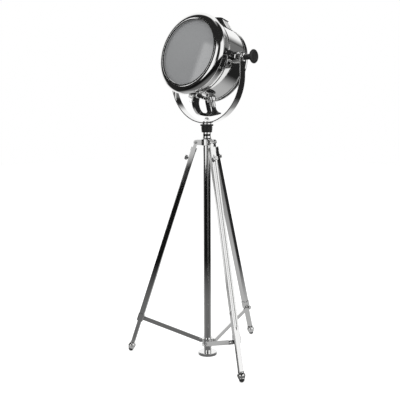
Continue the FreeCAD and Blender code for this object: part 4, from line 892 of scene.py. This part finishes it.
class LAMP_OT_stage(bpy.types.Operator):
    """The floor, the lights and the camera"""
    bl_idname = "lamp.stage"
    bl_label = "Stage"

    def camera(self, studio):
        look = Vector(studio.look).normalized()
        right = look.cross(Vector((0, 0, 1))).normalized()
        up = right.cross(look)
        right, up = (right * math.cos(studio.roll) + up * math.sin(studio.roll),
                     up * math.cos(studio.roll) - right * math.sin(studio.roll))
        data = bpy.data.cameras.new("camera")
        data.lens = studio.lens
        data.sensor_width = 36.0
        camera = bpy.data.objects.new("camera", data)
        turn = Matrix((right, up, -look)).transposed().to_4x4()
        camera.matrix_world = Matrix.Translation(studio.eye) @ turn
        bpy.context.scene.collection.objects.link(camera)
        bpy.context.scene.camera = camera

    def floor(self, studio):
        """Pale and even to the eye.  In reflections it shows a painted pool of light round the lamp,
        dimmer towards the camera, and a painted wash of light before the wall behind: glow in the
        floor's own material that only glossy rays see."""
        mesh = bpy.data.meshes.new("floor")
        half = studio.floor_half
        mesh.from_pydata([(-half, -half, 0), (half, -half, 0), (half, half, 0), (-half, half, 0)],
                         [], [(0, 1, 2, 3)])
        floor = bpy.data.objects.new("floor", mesh)
        bpy.context.scene.collection.objects.link(floor)
        material = bpy.data.materials.new("studio_floor")
        material.use_nodes = True
        nodes = emptied(material.node_tree)
        place = nodes.add("ShaderNodeTexCoord").outputs["Object"]
        away = nodes.add("ShaderNodeVectorMath", operation="LENGTH")
        nodes.link(place, away.inputs[0])
        radius = away.outputs["Value"]
        behind = nodes.maths("DIVIDE", nodes.dot(place, BEHIND), radius)
        # Painted light: a pool round the lamp and a wash before the wall, glowing only for glossy rays.
        wash = nodes.maths("MULTIPLY", nodes.ease(behind, *WASH_SIDES),
                           nodes.ease(radius, *WASH_RADII))
        pool = nodes.maths("MULTIPLY", nodes.ease(radius, *POOL_RADII, *POOL_LEVELS),
                           nodes.ease(behind, *POOL_SIDES, POOL_AHEAD, 1.0))
        glossy_glow = nodes.maths("MAXIMUM", wash, pool)
        paths = nodes.add("ShaderNodeLightPath")
        seen = nodes.maths("MULTIPLY", paths.outputs["Is Camera Ray"], FLOOR_SEEN)
        level = nodes.maths("ADD", seen,
                            nodes.maths("MULTIPLY", paths.outputs["Is Glossy Ray"], glossy_glow))
        grey = nodes.maths("MULTIPLY", studio.floor,
                           nodes.maths("SUBTRACT", 1.0, paths.outputs["Is Glossy Ray"]))
        diffuse = nodes.add("ShaderNodeBsdfDiffuse")
        nodes.link(grey, diffuse.inputs["Color"])
        glow = nodes.add("ShaderNodeEmission")
        nodes.link(level, glow.inputs["Strength"])
        total = nodes.add("ShaderNodeAddShader")
        nodes.link(diffuse.outputs[0], total.inputs[0])
        nodes.link(glow.outputs[0], total.inputs[1])
        output = nodes.add("ShaderNodeOutputMaterial")
        nodes.link(total.outputs[0], output.inputs["Surface"])
        mesh.materials.append(material)

    def world(self, studio):
        """White seen directly and from the side of diffuse surfaces.  In reflections: a white wall
        behind the lamp, a dark room on the camera's side of it, and the softboxes."""
        world = bpy.data.worlds.new("studio")
        bpy.context.scene.world = world
        world.use_nodes = True
        nodes = emptied(world.node_tree)
        direction = nodes.add("ShaderNodeTexCoord").outputs["Generated"]
        azimuth = nodes.degrees(nodes.maths("ARCTAN2", nodes.dot(direction, RIGHTWARD),
                                            nodes.dot(direction, AHEAD)))
        elevation = nodes.degrees(nodes.maths("ARCSINE", nodes.dot(direction, (0, 0, 1))))
        glossy_glow = nodes.maths("MAXIMUM", nodes.ease(azimuth, *WALL_ON_RIGHT),
                            nodes.ease(azimuth, *WALL_ON_LEFT))
        glossy_glow = nodes.maths("MAXIMUM", glossy_glow, nodes.ease(elevation, *CEILING, 0, CEILING_LEVEL))
        glossy_glow = nodes.maths("MAXIMUM", glossy_glow, DARK_ROOM)
        for left, right, low, high, soft, level in SOFTBOXES:
            across = nodes.maths("MULTIPLY", nodes.ease(azimuth, left - soft, left + soft),
                                 nodes.ease(azimuth, right + soft, right - soft))
            upright = nodes.maths("MULTIPLY", nodes.ease(elevation, low - soft, low + soft),
                                  nodes.ease(elevation, high + soft, high - soft))
            box = nodes.maths("MULTIPLY", nodes.maths("MULTIPLY", across, upright), level)
            glossy_glow = nodes.maths("MAXIMUM", glossy_glow, box)
        paths = nodes.add("ShaderNodeLightPath")
        straight = nodes.maths("MAXIMUM", paths.outputs["Is Camera Ray"],
                               paths.outputs["Is Transmission Ray"])
        mirrored = paths.outputs["Is Glossy Ray"]
        fill = nodes.maths("MULTIPLY", nodes.maths("SUBTRACT", 1.0, mirrored), studio.fill)
        level = nodes.maths("ADD", nodes.maths("MULTIPLY", mirrored, glossy_glow), fill)
        background = nodes.add("ShaderNodeBackground")
        background.inputs["Color"].default_value = (1, 1, 1, 1)
        nodes.link(nodes.maths("MAXIMUM", level, straight), background.inputs["Strength"])
        output = nodes.add("ShaderNodeOutputWorld")
        nodes.link(background.outputs[0], output.inputs["Surface"])

    def softbox(self, name, place, target, size, power):
        data = bpy.data.lights.new(name, "AREA")
        data.shape = "RECTANGLE"
        data.size, data.size_y = size
        data.energy = power
        light = bpy.data.objects.new(name, data)
        light.location = place
        aim = Vector(target) - Vector(place)
        light.rotation_euler = aim.to_track_quat("-Z", "Y").to_euler()
        light.visible_glossy = False
        bpy.context.scene.collection.objects.link(light)

    def execute(self, context):
        studio = context.scene.lamp_studio
        self.camera(studio)
        self.floor(studio)
        self.world(studio)
        self.softbox("key_softbox", (2.6, -0.6, 3.0), (0, 0, 0.8), (1.6, 1.6), 26)
        self.softbox("top_softbox", (-0.8, -1.2, 3.6), (0, 0, 0.8), (2.2, 2.2), 22)
        scene = context.scene
        scene.view_settings.view_transform = "Standard"
        return {"FINISHED"}


class LAMP_PT_panel(bpy.types.Panel):
    """Lists the lamp's pieces and sizes"""
    bl_idname = "LAMP_PT_panel"
    bl_label = "Tripod spotlight lamp"
    bl_space_type = "VIEW_3D"
    bl_region_type = "UI"
    bl_category = "Lamp"

    def draw(self, context):
        layout = self.layout
        for operator in OPERATORS:
            layout.operator(operator.bl_idname)
        for name, group in GROUPS.items():
            box = layout.box()
            box.label(text=group.__doc__)
            for key in group.__annotations__:
                box.prop(getattr(context.scene, name), key)


OPERATORS = (LAMP_OT_finishes, LAMP_OT_drum, LAMP_OT_bezel, LAMP_OT_lens, LAMP_OT_rear_cover,
             LAMP_OT_knobs, LAMP_OT_yoke, LAMP_OT_column, LAMP_OT_legs, LAMP_OT_feet,
             LAMP_OT_stage)
GROUPS = {"lamp_head": LampHeadSizes, "lamp_stand": LampStandSizes,
          "lamp_tripod": LampTripodSizes, "lamp_finish": LampFinishes,
          "lamp_studio": LampStudio}


def register():
    for group in (*GROUPS.values(), *OPERATORS, LAMP_PT_panel):
        bpy.utils.register_class(group)
    for name, group in GROUPS.items():
        setattr(bpy.types.Scene, name, bpy.props.PointerProperty(type=group))


def unregister():
    for name in GROUPS:
        delattr(bpy.types.Scene, name)
    for group in reversed((*GROUPS.values(), *OPERATORS, LAMP_PT_panel)):
        bpy.utils.unregister_class(group)


def main():
    register()
    for operator in OPERATORS:
        family, name = operator.bl_idname.split(".")
        getattr(getattr(bpy.ops, family), name)()


if __name__ == "__main__":
    main()
